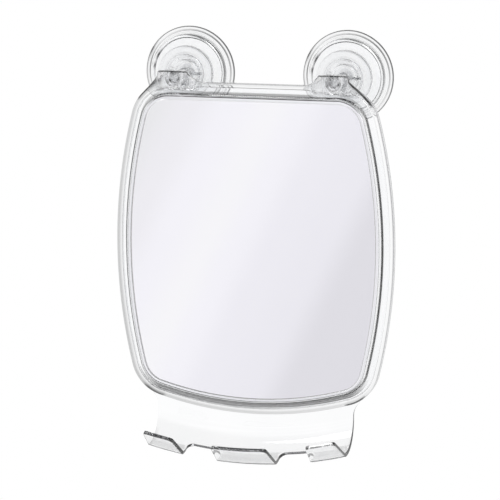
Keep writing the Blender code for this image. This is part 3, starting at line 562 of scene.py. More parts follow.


# %% The painted shade at one station
def station_painted_shades(out, ear, flare, joint):
    """Painted shade by place on the section, from the way out and how much the station belongs to an ear,
    its outer flare and a corner of the rail."""
    rightward, upright = out
    top = TOP_SHADE * smooth(1.3 * upright - 0.3)
    bottom = BOTTOM_SHADE * smooth(-1.3 * upright - 0.3)
    slope = max(top, bottom) * (1 - ear / 2)
    foot = max(FOOT_SHADE * math.sqrt(max(1 - upright ** 2, 0.0)), slope)
    inner = LIP_INNER_SHADE * (1 - 0.8 * smooth(upright))
    fall = WALL_SHADE_FALL * abs(upright) * (1 - smooth(8 * ear))
    wall = between(WALL_SHADE - fall, EAR_SHADE, smooth(6 * ear - 5))
    wall = between(between(wall, FLARE_SHADE, flare), RAIL_JOINT_SHADE, joint)
    edge = between(between(EDGE_SHADE, EAR_EDGE_SHADE, smooth(4 * ear)), FLARE_SHADE, flare)
    edge = between(edge, RAIL_JOINT_SHADE, joint)
    return {"top": top, "bottom": bottom, "slope": slope, "foot": foot, "inner": inner,
            "lip": inner * smooth(rightward), "wall": wall, "edge": edge}


# %% The moulding's section at one station
def frame_section(fore, aft, front, bead, out, ear, flare, joint):
    """Section points (offset, depth, painted shade): reach fore and aft, depth of the front face, beads, the
    way out, and how much the station belongs to an ear, its outer flare and a corner of the rail."""
    shade_and_backing = station_painted_shades(out, ear, flare, joint)
    lip_start = LIP_ROUND - LIP_PROUD
    rise = FLANGE_DEPTH - lip_start
    slope = math.hypot(SLOPE_WIDTH, rise)
    slope_wall = FRAME_WALL * slope / SLOPE_WIDTH
    pane_wall = PANE_OVERLAP + GAP
    flange_back = FLANGE_DEPTH + FRAME_WALL
    flange_inner = LIP_WIDTH + (flange_back - slope_wall - lip_start) * SLOPE_WIDTH / rise
    pocket_back = lip_start + slope_wall + (pane_wall - LIP_WIDTH) * rise / SLOPE_WIDTH
    foot = LIP_WIDTH + SLOPE_WIDTH
    section = [(-LIP_OVERHANG, -GAP, shade_and_backing["inner"])]
    lip = arc((LIP_ROUND - LIP_OVERHANG, lip_start), LIP_ROUND, 180, 270, 4)
    section += with_painted_shade(lip[:2], shade_and_backing["inner"]) + with_painted_shade(lip[2:3], shade_and_backing["lip"]) + with_painted_shade(lip[3:], 0.0)
    lip = arc((LIP_WIDTH - LIP_ROUND, lip_start), LIP_ROUND, 270, 360, 4)
    section += with_painted_shade(lip[:2], 0.0) + with_painted_shade(lip[2:], max(LIP_SHADE, shade_and_backing["bottom"]))
    for share in (0.12, 0.3, 0.5, 0.7, 0.88):
        lift = bead * math.sin(math.pi * share)
        section.append((LIP_WIDTH + SLOPE_WIDTH * share + lift * rise / slope,
                        lip_start + rise * share - lift * SLOPE_WIDTH / slope,
                        shade_and_backing["foot"] if share > 0.5 else shade_and_backing["slope"]))
    section += [(offset, FLANGE_DEPTH, shade_and_backing["foot"]) for offset in (foot, foot + 1.5 * EDGE_ROUND)]
    shelf = BORDER_WIDTH - BORDER_ROUND
    flange = [(foot + 2.2 * EDGE_ROUND, shade_and_backing["slope"])]
    flange += [(offset, max(shade_and_backing["top"] * top, shade_and_backing["bottom"] * bottom)) for offset, top, bottom in SHADE_BAND]
    flange += [(offset, 0.0) for offset in np.linspace(SHADE_BAND[-1][0], shelf, 4)[1:]]
    for offset, dark in flange:
        lift = smooth((offset - foot - EDGE_ROUND) / (shelf - foot - EDGE_ROUND))
        section.append((offset, FLANGE_DEPTH + (front - FLANGE_DEPTH) * lift, dark * (1 - ear)))
    rounding = arc((fore - BORDER_ROUND, front + BORDER_ROUND), BORDER_ROUND, -90, 0, 8)
    dark_from = 2 if max(flare, joint) > 0.5 else 3 if smooth(6 * ear - 5) > 0.5 else 4
    section += with_painted_shade(rounding[:dark_from], 0.0) + with_painted_shade(rounding[dark_from:], shade_and_backing["wall"])
    back = arc((aft - EDGE_ROUND, FRAME_DEPTH - EDGE_ROUND), EDGE_ROUND, 0, 90, 3)
    for share in (0.25, 0.75):
        section.append((*Vector(rounding[-1]).lerp(Vector(back[0]), share),
                        min(shade_and_backing["wall"], WALL_MIDDLE_SHADE)))
    section += with_painted_shade(back, shade_and_backing["edge"])
    skirt = BORDER_WIDTH - SKIRT_WALL
    inner = arc((skirt + EDGE_ROUND, FRAME_DEPTH - EDGE_ROUND), EDGE_ROUND, 90, 180, 3)
    inner += [(skirt, flange_back), (flange_inner, flange_back), (pane_wall, pocket_back), (pane_wall, -GAP)]
    inner += [(EDGE_ROUND / 2 - LIP_OVERHANG, -GAP)]
    return section + with_painted_shade(inner, 0.0)


# %% Sweep the section round the opening
def flare_share(point, out):
    """How much a station of the right half lies on the ear's outer flare."""
    if point[0] <= TOP_CORNER[0] or point[1] <= 0:
        return 0.0
    angle = math.degrees(math.atan2(out[1], out[0]))
    return smooth((FLARE_START - angle) / 6.0) * smooth((angle - FLARE_END) / 8.0)


def frame_mesh():
    """The whole moulding as one ring of sections."""
    ears = [("top", CUP_X + x) for x, _ in FORE_TOP] + [("top", CUP_X + x) for x, _ in AFT_TOP]
    ears += [("corner", angle) for angle, _ in FORE_CORNER + AFT_CORNER]
    ears = [place for place in ears if place[0] == "top" or SIDE_START < place[1] < 90.0]
    middle = LIP_WIDTH + SLOPE_WIDTH / 2
    half = half_outline(BEAD_PITCH / STATIONS_PER_BEAD, middle, ears)
    spaced = [half[0]]
    for station in half[1:]:
        if station[2] - spaced[-1][2] > BEAD_PITCH / 50:
            spaced.append(station)
    beads = round(spaced[-1][2] / BEAD_PITCH)
    rows = []
    shades_and_backing = []
    for point, out, length in whole_outline(spaced):
        right_point, right_out = (abs(point[0]), point[1]), (abs(out[0]), out[1])
        fore = reach_at(right_point, right_out, FORE_TOP, FORE_CORNER)
        aft = reach_at(right_point, right_out, AFT_TOP, AFT_CORNER)
        share = smooth((fore - BORDER_WIDTH) / EAR_RAMP)
        front = FLANGE_DEPTH - (FLANGE_DEPTH + LIP_PROUD) * share
        wave = 0.5 - 0.5 * math.cos(2 * math.pi * length * beads / spaced[-1][2])
        flare = flare_share(right_point, right_out)
        joint = 0.0
        if point[1] < 0:
            joint = smooth(2 - abs(abs(point[0]) - RAIL_JOINT_X) / RAIL_JOINT_LENGTH)
        section = frame_section(fore, aft, front, BEAD_HEIGHT * (wave - 0.5), out, share, flare, joint)
        rows.append([in_frame(point[0] + out[0] * offset, depth, point[1] + out[1] * offset)
                     for offset, depth, _ in section])
        shades_and_backing += [shade_and_backing for _, _, shade_and_backing in section]
    print("frame moulding:", len(rows), "sections of", len(rows[0]), "points,", 2 * beads, "beads")
    return store_shade_and_backing(skin("frame_moulding", rows, closed_rows=True), shades_and_backing)


frame_piece = add_object("frame_moulding", frame_mesh(), CLEAR)

# %% [markdown]
# ## The ball pockets
# Behind each ear a round pocket takes the seat of a ball joint. The pocket is bored from behind and breaks
# out through the ear's top, which is the dark slot that shows there. A Boolean cut is the plain way to bore
# a round hole in a finished form.

# %% Bore the pockets
PIVOT_DEPTH = 5.0 * MM
PIVOT_HEIGHT = -SURFACE - PIVOT_DEPTH
BALL_RADIUS = 3.4 * MM
SEAT_WALL = 1.0 * MM
SEAT_THROAT = 2.9 * MM
SEAT_MOUTH = 3.4 * MM
SEAT_FRONT_WALL = 0.5 * MM
TOOL_REACH = 2 * MM
ROUND_STEPS = 128
SMALL_ROUND_STEPS = 64


def turned_rows(profile, x, steps):
    """Rows about an axis square to the wall, from (radius, height off the wall) points."""
    rows = []
    for radius, height in profile:
        if radius == 0:
            rows.append([(x, -height, 0.0)])
        else:
            rows.append([(x + radius * math.cos(a), -height, radius * math.sin(a)) for a in full_turn(steps)])
    return rows


def ring_painted_shade(shade_rings, radius, angle):
    """The darkest painted shade of the rings at a place. A ring is (least radius, greatest radius, painted
    shade, share on the far side, angle where it is darkest, how narrow that stretch is)."""
    shades_and_backing = [0.0]
    for least, greatest, shade_and_backing, far, towards, narrow in shade_rings:
        if least <= radius <= greatest:
            near = (0.5 + 0.5 * math.cos(angle - math.radians(towards))) ** narrow
            shades_and_backing.append(shade_and_backing * between(far, 1.0, near))
    return max(shades_and_backing)


def turned(name, profile, x, shade_rings=(), closed=False):
    """A turned mesh with its rings of painted shade."""
    shades_and_backing = []
    for radius, _ in profile:
        angles = full_turn(ROUND_STEPS) if radius else [0.0]
        shades_and_backing += [ring_painted_shade(shade_rings, radius, angle) for angle in angles]
    return store_shade_and_backing(skin(name, turned_rows(profile, x, ROUND_STEPS), closed), shades_and_backing)


def carve(obj, rows_list):
    """Cut each tool, given as its rows, out of the object."""
    tools = [add_object("carving_tool", skin("carving_tool", rows), CLEAR) for rows in rows_list]
    for tool in tools:
        modifier = obj.modifiers.new("carve", "BOOLEAN")
        modifier.object = tool
        modifier.operation = "DIFFERENCE"
        modifier.solver = "EXACT"
    settle(obj)
    for tool in tools:
        bpy.data.objects.remove(tool)


def round_nose(radius, front):
    """A flat front with a round corner, as the seat and its pocket have."""
    corner = arc((radius - SEAT_WALL, front - SEAT_WALL), SEAT_WALL, 90, 0, 6)
    return [(0.0, front), (radius - SEAT_WALL, front)] + corner[1:]


pocket_radius = BALL_RADIUS + GAP + SEAT_WALL + GAP
pocket = round_nose(pocket_radius, PIVOT_HEIGHT + BALL_RADIUS + GAP + SEAT_FRONT_WALL + GAP)
pocket += [(radius, -SURFACE - FRAME_DEPTH - TOOL_REACH) for radius in (pocket_radius, 0.0)]
for side in (-1, 1):
    carve(frame_piece, [turned_rows(pocket, side * CUP_X, SMALL_ROUND_STEPS)])
place(frame_piece, "frame", "frame_shell", soft_edge=26.0)

# %% [markdown]
# ## The mirror and what lies against it
# The mirror is a plate with a ground edge. A film with the coating that sheds fog lies on its face, a foam
# pad takes up the room behind it and a clear back plate closes the frame. All four follow the opening's
# outline, so each is a short section swept round it and capped.

# %% The layers
PANE_THICKNESS = 3.0 * MM
GROUND_EDGE = 0.4 * MM
FILM_THICKNESS = 0.2 * MM
FILM_MARGIN = 0.8 * MM
PAD_THICKNESS = 1.5 * MM
PAD_MARGIN = 6.0 * MM
COVER_THICKNESS = 1.8 * MM
COVER_WALL = 2.0 * MM
LAYER_STEP = 1.2 * MM
PAINT_CREASE = 0.1

pad_front = PANE_THICKNESS + GAP
cover_front = FRAME_DEPTH - COVER_THICKNESS
cover_edge = BORDER_WIDTH - SKIRT_WALL - GAP
layers = {
    "mirror_plate": ("mirror_pane", SILVER, [
        (PANE_OVERLAP - GROUND_EDGE, 0.0), (PANE_OVERLAP, GROUND_EDGE),
        (PANE_OVERLAP, PANE_THICKNESS - GROUND_EDGE), (PANE_OVERLAP - GROUND_EDGE, PANE_THICKNESS)]),
    "fogless_film": ("antifog_film", FILM, [
        (-FILM_MARGIN, -GAP - FILM_THICKNESS), (-FILM_MARGIN, -GAP)]),
    "foam_pad": ("backing_pad", FOAM, [
        (-PAD_MARGIN - EDGE_ROUND, pad_front), (-PAD_MARGIN, pad_front + EDGE_ROUND),
        (-PAD_MARGIN, pad_front + PAD_THICKNESS - EDGE_ROUND),
        (-PAD_MARGIN - EDGE_ROUND, pad_front + PAD_THICKNESS)]),
    "back_plate": ("back_cover", CLEAR, [
        (PANE_OVERLAP - COVER_WALL, cover_front), (PANE_OVERLAP - COVER_WALL, pad_front),
        (PANE_OVERLAP, pad_front), (PANE_OVERLAP, cover_front), (cover_edge, cover_front)]
        + arc((cover_edge - EDGE_ROUND, FRAME_DEPTH - EDGE_ROUND), EDGE_ROUND, 0, 90, 3)),
}
for name, (node, material, section) in layers.items():
    rows = outline_rows(section, LAYER_STEP)
    painted = [PAINT_CREASE if name == "mirror_plate" and depth > 0 else 0.0 for _, depth in section]
    shades_and_backing = [shade_and_backing for row, shade_and_backing in zip(rows, painted) for _ in row]
    layer = add_object(name, store_shade_and_backing(skin(name, rows), shades_and_backing), material)
    place(layer, "frame", node)

# %% [markdown]
# ## The hook rail
# The rail is one sheet that hangs from the frame's lower edge, sweeps forward in a round bend into a trough
# and rises to the lip. Two notches part the front into three hooks, and the top flares into the frame's
# corners. The middle surface is a grid whose columns follow each hook's edges. Solidify gives it its wall
# and Bevel rounds the cut edges, as a mould does.

# %% Sizes of the rail
RAIL_THICKNESS = 2.2 * MM
RAIL_HALF_WIDTH = OPENING_HALF_WIDTH - 15.5 * MM
RAIL_FLARE = 6.5 * MM
PANEL_HEIGHT = 24.7 * MM
PANEL_BEND_RADIUS = 19.0 * MM
TROUGH_BACKSET = 20.2 * MM
TROUGH_FALL = 2.3 * MM
TROUGH_BEND_RADIUS = 2.8 * MM
HOOK_REACH = 19.2 * MM
HOOK_RISE = 12.1 * MM
HOOK_ARC_RADIUS = 245.0 * MM
HOOK_GAP_DEPTH = 12.4 * MM
HOOK_GAP_RADIUS = 4.5 * MM
HOOK_TIP_ROUND = 2.2 * MM
RAIL_EDGE_ROUND = 0.7 * MM
# how dark the painted shade on the rail's cut edges is
RAIL_EDGE_SHADE = 0.97
print("the rail is", round(2 * RAIL_HALF_WIDTH / MM, 1), "mm wide")

# %% Where each hook starts and ends, from the middle out, at the trough and at the lip
MIDDLE_HOOK_TROUGH = 18.8 * MM
MIDDLE_HOOK_LIP = 17.5 * MM
SIDE_HOOK_TROUGH = RAIL_HALF_WIDTH - 22.1 * MM
SIDE_HOOK_LIP_END = RAIL_HALF_WIDTH - 2.3 * MM
SIDE_HOOK_LIP_START = SIDE_HOOK_LIP_END - 18.3 * MM


# %% The rail's path, seen from the side
def rounded_path(corners, bends):
    """A path through (depth, height) corners, each inner corner rounded by (radius, steps)."""
    points = [Vector(corners[0])]
    for before, corner, after, (radius, steps) in zip(corners, corners[1:], corners[2:], bends):
        into = (Vector(corner) - Vector(before)).normalized()
        out = (Vector(after) - Vector(corner)).normalized()
        turn = into.angle(out)
        start = Vector(corner) - into * radius * math.tan(turn / 2)
        hand = 1 if into.x * out.y - into.y * out.x > 0 else -1
        normal = Vector((-into.y, into.x)) * hand
        for angle in np.linspace(0.0, turn, steps + 1):
            points.append(start + into * radius * math.sin(angle) + normal * radius * (1 - math.cos(angle)))
    points.append(Vector(corners[-1]))
    return points


def rail_path():
    """Panel, trough and lip at the rail's middle."""
    plane = FRAME_DEPTH - RAIL_THICKNESS / 2
    trough = (plane - TROUGH_BACKSET, -PANEL_HEIGHT - TROUGH_FALL)
    corners = [(plane, 0.0), (plane, -PANEL_HEIGHT), trough, (trough[0] - HOOK_REACH, trough[1] + HOOK_RISE)]
    return rounded_path(corners, ((PANEL_BEND_RADIUS, 28), (TROUGH_BEND_RADIUS, 10)))


PATH = rail_path()
PATH_LENGTHS = [0.0] + list(np.cumsum([(b - a).length for a, b in zip(PATH, PATH[1:])]))
TROUGH = (PATH_LENGTHS[-2] + PATH_LENGTHS[-12]) / 2
ROOT = TROUGH - HOOK_GAP_DEPTH
LIP = PATH_LENGTHS[-1]
print("rail's path is", round(LIP / MM, 1), "mm long")


# %% Where the sheet's edges run
def round_back(radius, from_edge):
    """How far a rounded corner stands back at a distance from its edge."""
    if from_edge >= radius:
        return 0.0
    return radius - math.sqrt(max(radius ** 2 - (radius - from_edge) ** 2, 0.0))


def rail_edges(where):
    """Pairs of left and right edges at a distance along the path."""
    tip = round_back(HOOK_TIP_ROUND, LIP - where)
    past = (where - TROUGH) / (LIP - TROUGH)
    outer = between(RAIL_HALF_WIDTH, SIDE_HOOK_LIP_END, past) + round_back(RAIL_FLARE, where) - tip
    if where < ROOT:
        return [(-outer, outer)]
    fillet = round_back(HOOK_GAP_RADIUS, where - ROOT)
    middle = between(MIDDLE_HOOK_TROUGH, MIDDLE_HOOK_LIP, past) + fillet - tip
    inner = between(SIDE_HOOK_TROUGH, SIDE_HOOK_LIP_START, past) - fillet + tip
    return [(-outer, -inner), (-middle, middle), (inner, outer)]


def bottom_edge(x, offset):
    """Height of the outline's lower side at x."""
    x = abs(x)
    radius = OPENING_BOTTOM_RADIUS + offset
    if x <= BOTTOM_CORNER[0] * radius / (OPENING_BOTTOM_RADIUS - OPENING_CORNER_RADIUS):
        return BOTTOM_CENTRE[1] - math.sqrt(radius ** 2 - x ** 2)
    return BOTTOM_CORNER[1] - math.sqrt((OPENING_CORNER_RADIUS + offset) ** 2 - (x - BOTTOM_CORNER[0]) ** 2)


def rail_point(where, x):
    """A point of the middle surface: it follows the frame above and the hooks' arc below."""
    depth = float(np.interp(where, PATH_LENGTHS, [point.x for point in PATH]))
    drop = float(np.interp(where, PATH_LENGTHS, [point.y for point in PATH]))
    base = bottom_edge(0.0, BORDER_WIDTH + GAP)
    frame_rise = bottom_edge(x, BORDER_WIDTH + GAP) - base
    hook_rise = HOOK_ARC_RADIUS - math.sqrt(HOOK_ARC_RADIUS ** 2 - x ** 2)
    return in_frame(x, depth, base + drop + between(frame_rise, hook_rise, where / ROOT))


# %% The rail's grid
SIDE_COLUMNS = 12
GAP_COLUMNS = 10
MIDDLE_COLUMNS = 20


def rail_mesh():
    """The grid: whole down to the notches' root, then three tabs."""
    root_rows = [ROOT + HOOK_GAP_RADIUS * (1 - math.cos(angle)) for angle in np.radians(np.arange(9, 91, 9))]
    tip_rows = [LIP - HOOK_TIP_ROUND * (1 - math.sin(angle)) for angle in np.radians(np.arange(0, 91, 15))]
    flare_rows = [RAIL_FLARE * (1 - math.cos(angle)) for angle in np.radians(np.arange(0, 91, 9))]
    upper = flare_rows + [where for where in PATH_LENGTHS if RAIL_FLARE + GAP < where < ROOT - GAP] + [ROOT]
    lower = [where for where in PATH_LENGTHS if root_rows[-1] < where < tip_rows[0] - GAP]
    lower = sorted(root_rows + lower + tip_rows)
    edges = [x for pair in rail_edges(ROOT) for x in pair]
    counts = (SIDE_COLUMNS, GAP_COLUMNS, MIDDLE_COLUMNS, GAP_COLUMNS, SIDE_COLUMNS)
    xs_root = [edges[0]]
    for start, end, columns in zip(edges, edges[1:], counts):
        xs_root += list(np.linspace(start, end, columns + 1))[1:]
    bm = bmesh.new()

    def join(above, row):
        for index in range(len(row) - 1):
            bm.faces.new((above[index], above[index + 1], row[index + 1], row[index]))

    above = None
    for where in upper:
        scale = rail_edges(where)[-1][1] / edges[-1]
        row = [bm.verts.new(rail_point(where, x * scale)) for x in xs_root]
        if above:
            join(above, row)
        above = row
    starts = (0, SIDE_COLUMNS + GAP_COLUMNS, SIDE_COLUMNS + MIDDLE_COLUMNS + 2 * GAP_COLUMNS)
    for tab, (start, columns) in enumerate(zip(starts, (SIDE_COLUMNS, MIDDLE_COLUMNS, SIDE_COLUMNS))):
        last = above[start:start + columns + 1]
        for where in lower:
            xs = np.linspace(*rail_edges(where)[tab], columns + 1)
            row = [bm.verts.new(rail_point(where, x)) for x in xs]
            join(last, row)
            last = row
    return as_mesh(bm, "hook_sheet")


rail_piece = add_object("hook_sheet", rail_mesh(), CLEAR)
wall = rail_piece.modifiers.new("wall", "SOLIDIFY")
wall.thickness = RAIL_THICKNESS
wall.offset = 0.0
wall.use_even_offset = True
rounding = rail_piece.modifiers.new("rounding", "BEVEL")
rounding.width = RAIL_EDGE_ROUND
rounding.segments = 4
rounding.limit_method = "ANGLE"
rounding.angle_limit = math.radians(60)
settle(rail_piece)

# %% Painted shade on the cut edges, which face to the side; the curved faces stay clear
CLEAR_TURN = 0.22
CUT_TURN = 0.47
turns = [abs(point.normal.x) for point in rail_piece.data.vertices]
store_shade_and_backing(rail_piece.data, [RAIL_EDGE_SHADE * smooth((turn - CLEAR_TURN) / (CUT_TURN - CLEAR_TURN))
                               for turn in turns])
place(rail_piece, "frame", "hook_rail", soft_edge=32.0)

# %% [markdown]
# ## The suction cups
# Everything on a cup is round, so each piece is a profile turned about the cup's axis. A profile is drawn as
# (radius, height off the wall). Light bends hardest where a profile curves, so each edge gets an arc and not
# a plain corner: those arcs, with painted shade on some of them, are the grey rings that make clear plastic
# readable.

# %% Heights shared by the cup's pieces
CUP_HOLLOW = 0.9 * MM
WEB_FRONT = CUP_HOLLOW + 1.7 * MM
STUD_BASE_RADIUS = 4.8 * MM
STUD_BASE_FRONT = WEB_FRONT + GAP + 0.8 * MM
STUD_SHAFT_RADIUS = 2.8 * MM
BOSS_POCKET_RADIUS = STUD_BASE_RADIUS + GAP
BOSS_POCKET_TOP = STUD_BASE_FRONT + GAP
GUIDE_HEIGHT = 8.0 * MM
SLOT_FLOOR = GUIDE_HEIGHT + 1.2 * MM
PIN_RADIUS = 0.7 * MM
PIN_HALF_LENGTH = 10.4 * MM
PIN_HEIGHT = SLOT_FLOOR + GAP + PIN_RADIUS
PULL_TRAVEL = 1.6 * MM
POST_TOP = PIN_HEIGHT + PULL_TRAVEL + PIN_RADIUS + GAP
FLANGE_BOTTOM = POST_TOP + GAP
FLANGE_TOP = FLANGE_BOTTOM + 1.5 * MM
FLANGE_RADIUS = 12.4 * MM
HOUSING_RADIUS = 24.0 * MM
HOUSING_WALL = 1.8 * MM
FACE_HEIGHT = 8.6 * MM
SEAT_HEIGHT = 7.9 * MM
POST_RADIUS = 8.4 * MM
RING_RADIUS = 17.4 * MM
STROKE_RADIUS = 21.7 * MM
STROKE_HALF_WIDTH = 0.4 * MM
BROKEN_EDGE = 0.2 * MM


# %% The soft disc
def disc_profile():
    """Flat seal on the wall, thick rim, thin web, boss that grips the stud's base."""
    seal = CUP_RADIUS - 5.0 * MM
    ramp = seal - 3.0 * MM
    rim = 2.0 * MM
    boss = BOSS_POCKET_RADIUS + 1.2 * MM
    boss_top = BOSS_POCKET_TOP + 1.1 * MM
    neck = STUD_SHAFT_RADIUS + GAP
    bead = rim / 2
    ridge = 0.5 * MM
    valley = 1.1 * MM
    groove = 0.3 * MM
    fillet = 0.6 * MM
    corner = 0.5 * MM
    profile = [(0.0, CUP_HOLLOW), (ramp, CUP_HOLLOW), (seal, 0.0), (CUP_RADIUS - bead, 0.0)]
    profile += arc((CUP_RADIUS - bead, bead), bead, -90, 150, 20)[1:]
    profile += arc((CUP_RADIUS - 2.4 * MM, valley + groove), groove, 330, 210, 6)
    profile += arc((CUP_RADIUS - 3.3 * MM, rim - ridge), ridge, 20, 180, 12)
    profile += arc((seal + 0.6 * MM, valley + 0.2 * MM), groove, 330, 180, 6)
    profile += [(seal, rim), (ramp, WEB_FRONT - 0.1 * MM), (ramp - fillet, WEB_FRONT)]
    profile += [(boss + fillet, WEB_FRONT)]
    profile += arc((boss + fillet, WEB_FRONT + fillet), fillet, 270, 180, 4)[1:]
    profile += arc((boss - corner, boss_top - corner), corner, 0, 90, 4)
    profile += [(neck, boss_top), (neck, BOSS_POCKET_TOP), (BOSS_POCKET_RADIUS, BOSS_POCKET_TOP)]
    profile += [(BOSS_POCKET_RADIUS, WEB_FRONT), (0.0, WEB_FRONT)]
    return profile


# %% The hard housing
def housing_profile():
    """Skirt, round shoulder, nearly flat face, seat for the ring, post that guides the stud."""
    foot = WEB_FRONT + GAP
    inner = HOUSING_RADIUS - HOUSING_WALL
    shoulder = 1.3 * MM
    crown = 8.0 * MM
    roof = 6.4 * MM
    seat = PIN_HALF_LENGTH + 3 * GAP + GAP
    bore = POST_RADIUS - 1.7 * MM
    guide = STUD_SHAFT_RADIUS + GAP
    toe = 0.3 * MM
    ceiling_round = 1.2 * MM
    rise = 0.45 * MM
    slant_end = RING_RADIUS + 2 * MM
    slant = rise / (HOUSING_RADIUS - shoulder - slant_end)
    profile = [(inner, foot)]
    profile += arc((HOUSING_RADIUS - toe, foot + toe), toe, -90, 0, 4)
    profile += arc((HOUSING_RADIUS - shoulder, crown - shoulder), shoulder, 0, 90, 14)
    for share in (2.0, 1.0, -1.0, -2.0):
        radius = STROKE_RADIUS + share * STROKE_HALF_WIDTH
        profile.append((radius, crown + slant * (HOUSING_RADIUS - shoulder - radius)))
    profile += [(slant_end, crown + rise), (RING_RADIUS + GAP, FACE_HEIGHT)]
    profile += [(seat + BROKEN_EDGE, FACE_HEIGHT), (seat, FACE_HEIGHT - BROKEN_EDGE), (seat, SEAT_HEIGHT)]
    profile += [(POST_RADIUS + BROKEN_EDGE, SEAT_HEIGHT), (POST_RADIUS, SEAT_HEIGHT + BROKEN_EDGE)]
    profile += [(POST_RADIUS, POST_TOP - BROKEN_EDGE), (POST_RADIUS - BROKEN_EDGE, POST_TOP)]
    profile += [(bore, POST_TOP), (bore, SLOT_FLOOR), (guide, SLOT_FLOOR), (guide, GUIDE_HEIGHT)]
    profile += [(bore, GUIDE_HEIGHT), (bore, roof)]
    return profile + arc((inner - ceiling_round, roof - ceiling_round), ceiling_round, 90, 0, 10)


# %% The lock ring
def ring_profile():
    """Collar under the pin, flat back, dished web and the round rim that fingers turn."""
    low = SEAT_HEIGHT + GAP
    face = FACE_HEIGHT + GAP
    bore = POST_RADIUS + GAP
    wall = PIN_HALF_LENGTH + 2 * GAP
    under = FLANGE_BOTTOM - GAP
    crown = under + 0.9 * MM
    ramp_high = PIN_HEIGHT - PIN_RADIUS - GAP + PULL_TRAVEL
    toe = 0.3 * MM
    rim = 1.4 * MM
    dish = 0.4 * MM
    profile = [(bore, low), (wall + GAP, low), (wall + GAP, face)]
    profile += arc((RING_RADIUS - toe, face + toe), toe, -90, 0, 4)
    profile += arc((RING_RADIUS - rim, crown - rim), rim, 0, 90, 10)
    profile += [(FLANGE_RADIUS + rim, crown)]
    profile += arc((FLANGE_RADIUS + rim, crown - dish), dish, 90, 150, 4)
    return profile + [(FLANGE_RADIUS + GAP, under), (wall, under), (wall, ramp_high), (bore, ramp_high)]


# %% The ball stem
def round_ball(radius, throat, steps):
    """Round the ball's centre, from its neck or throat to the tip in front."""
    turns = np.linspace(math.pi - math.asin(throat / radius), 0.0, steps)[:-1]
    points = [(radius * math.sin(turn), PIVOT_HEIGHT + radius * math.cos(turn)) for turn in turns]
    return points + [(0.0, PIVOT_HEIGHT + radius)]


def stem_profile():
    """Flange welded to the post, a neck that tapers like a horn, and the ball."""
    edge = 0.5 * MM
    recess = STUD_SHAFT_RADIUS + GAP
    neck, root, taper = 1.3 * MM, 4.2 * MM, 8.0 * MM
    profile = [(0.0, FLANGE_BOTTOM + 0.6 * MM), (recess, FLANGE_BOTTOM + 0.6 * MM), (recess, FLANGE_BOTTOM)]
    profile += arc((FLANGE_RADIUS - edge, FLANGE_BOTTOM + edge), edge, -90, 0, 5)
    profile += arc((FLANGE_RADIUS - edge, FLANGE_TOP - edge), edge, 0, 90, 5)
    profile += [(root + 0.9 * MM, FLANGE_TOP), (root + 0.3 * MM, FLANGE_TOP + 0.15 * MM)]
    for share in np.linspace(0.05, 1.0, 16):
        profile.append((neck + (root - neck) * (1 - share) ** 2, FLANGE_TOP + taper * share))
    return profile + round_ball(BALL_RADIUS, neck, 28)


# %% The ball's seat
def seat_profile():
    """Closed in front, narrowed behind the ball, open for the neck."""
    inner = BALL_RADIUS + GAP
    outer = inner + SEAT_WALL
    back = -SURFACE - FRAME_DEPTH + GAP
    profile = round_nose(outer, PIVOT_HEIGHT + inner + SEAT_FRONT_WALL)
    profile += [(outer, back), (SEAT_MOUTH, back)]
    return profile + round_ball(inner, SEAT_THROAT, 24)


def stud_profile():
    """A base in the disc's boss and a shaft up through the housing, both with broken edges."""
    base = WEB_FRONT + GAP
    top = PIN_HEIGHT + PIN_RADIUS + 0.5 * MM + GAP
    tip = 0.3 * MM
    inset = STUD_BASE_RADIUS - BROKEN_EDGE
    return [(0.0, base), (inset, base), (STUD_BASE_RADIUS, base + BROKEN_EDGE),
            (STUD_BASE_RADIUS, STUD_BASE_FRONT - BROKEN_EDGE), (inset, STUD_BASE_FRONT),
            (STUD_SHAFT_RADIUS, STUD_BASE_FRONT), (STUD_SHAFT_RADIUS, top - tip),
            (STUD_SHAFT_RADIUS - tip, top), (0.0, top)]


# %% [markdown]
# ## Cuts in the round pieces
# The post has a slot for the cross pin, the stud has a hole for it, the lock ring has two ramps that lift it
# and the ball's seat has a slot that lets it spring open. Each is a small tool cut out of a turned piece.

# %% Tools for the cuts
ROD_STEPS = 24
RAMP_LEAD = 15.0
RAMP_TURN = 90.0
NOTCH_START = 20.0
NOTCH_END = 60.0


def box_rows(low, high):
    """The two ends of a box, along X."""
    return [[(x, low[1], low[2]), (x, high[1], low[2]), (x, high[1], high[2]), (x, low[1], high[2])]
            for x in (low[0], high[0])]


def rod_rows(x, radius, half_length, height):
    """The two ends of a rod along X."""
    return [[(end, -height + radius * math.cos(a), radius * math.sin(a)) for a in full_turn(ROD_STEPS)]
            for end in (x - half_length, x + half_length)]


def sector_rows(x, start, end, floor, high, steps):
    """Rows of a sector about the cup's axis; floor gives its height at each angle."""
    inner, outer = POST_RADIUS - TOOL_REACH / 2, PIN_HALF_LENGTH + GAP
    rows = []
    for turn in np.linspace(start, end, steps + 1):
        angle = math.radians(turn)
        corners = ((inner, floor(turn)), (outer, floor(turn)), (outer, high), (inner, high))
        rows.append([(x + radius * math.cos(angle), -height, -radius * math.sin(angle))
                     for radius, height in corners])
    return rows


def ramp_tools(x):
    """For both ends of the pin: the helical ramp, and the notch that lets it pass."""
    low = PIN_HEIGHT - PIN_RADIUS - GAP
    top = low + PULL_TRAVEL + GAP
    tools = []
    for start in (0.0, 180.0):
        def climb(turn):
            return low + PULL_TRAVEL * min((start - turn) / RAMP_TURN, 1.0)

        ramp = sector_rows(x, start + RAMP_LEAD, start, lambda turn: low, top, 1)
        tools.append(ramp + sector_rows(x, start, start - RAMP_TURN, climb, top, 24)[1:])
        tools.append(sector_rows(x, start + NOTCH_START, start + NOTCH_END,
                                 lambda turn: SEAT_HEIGHT - TOOL_REACH, top, 10))
    return tools
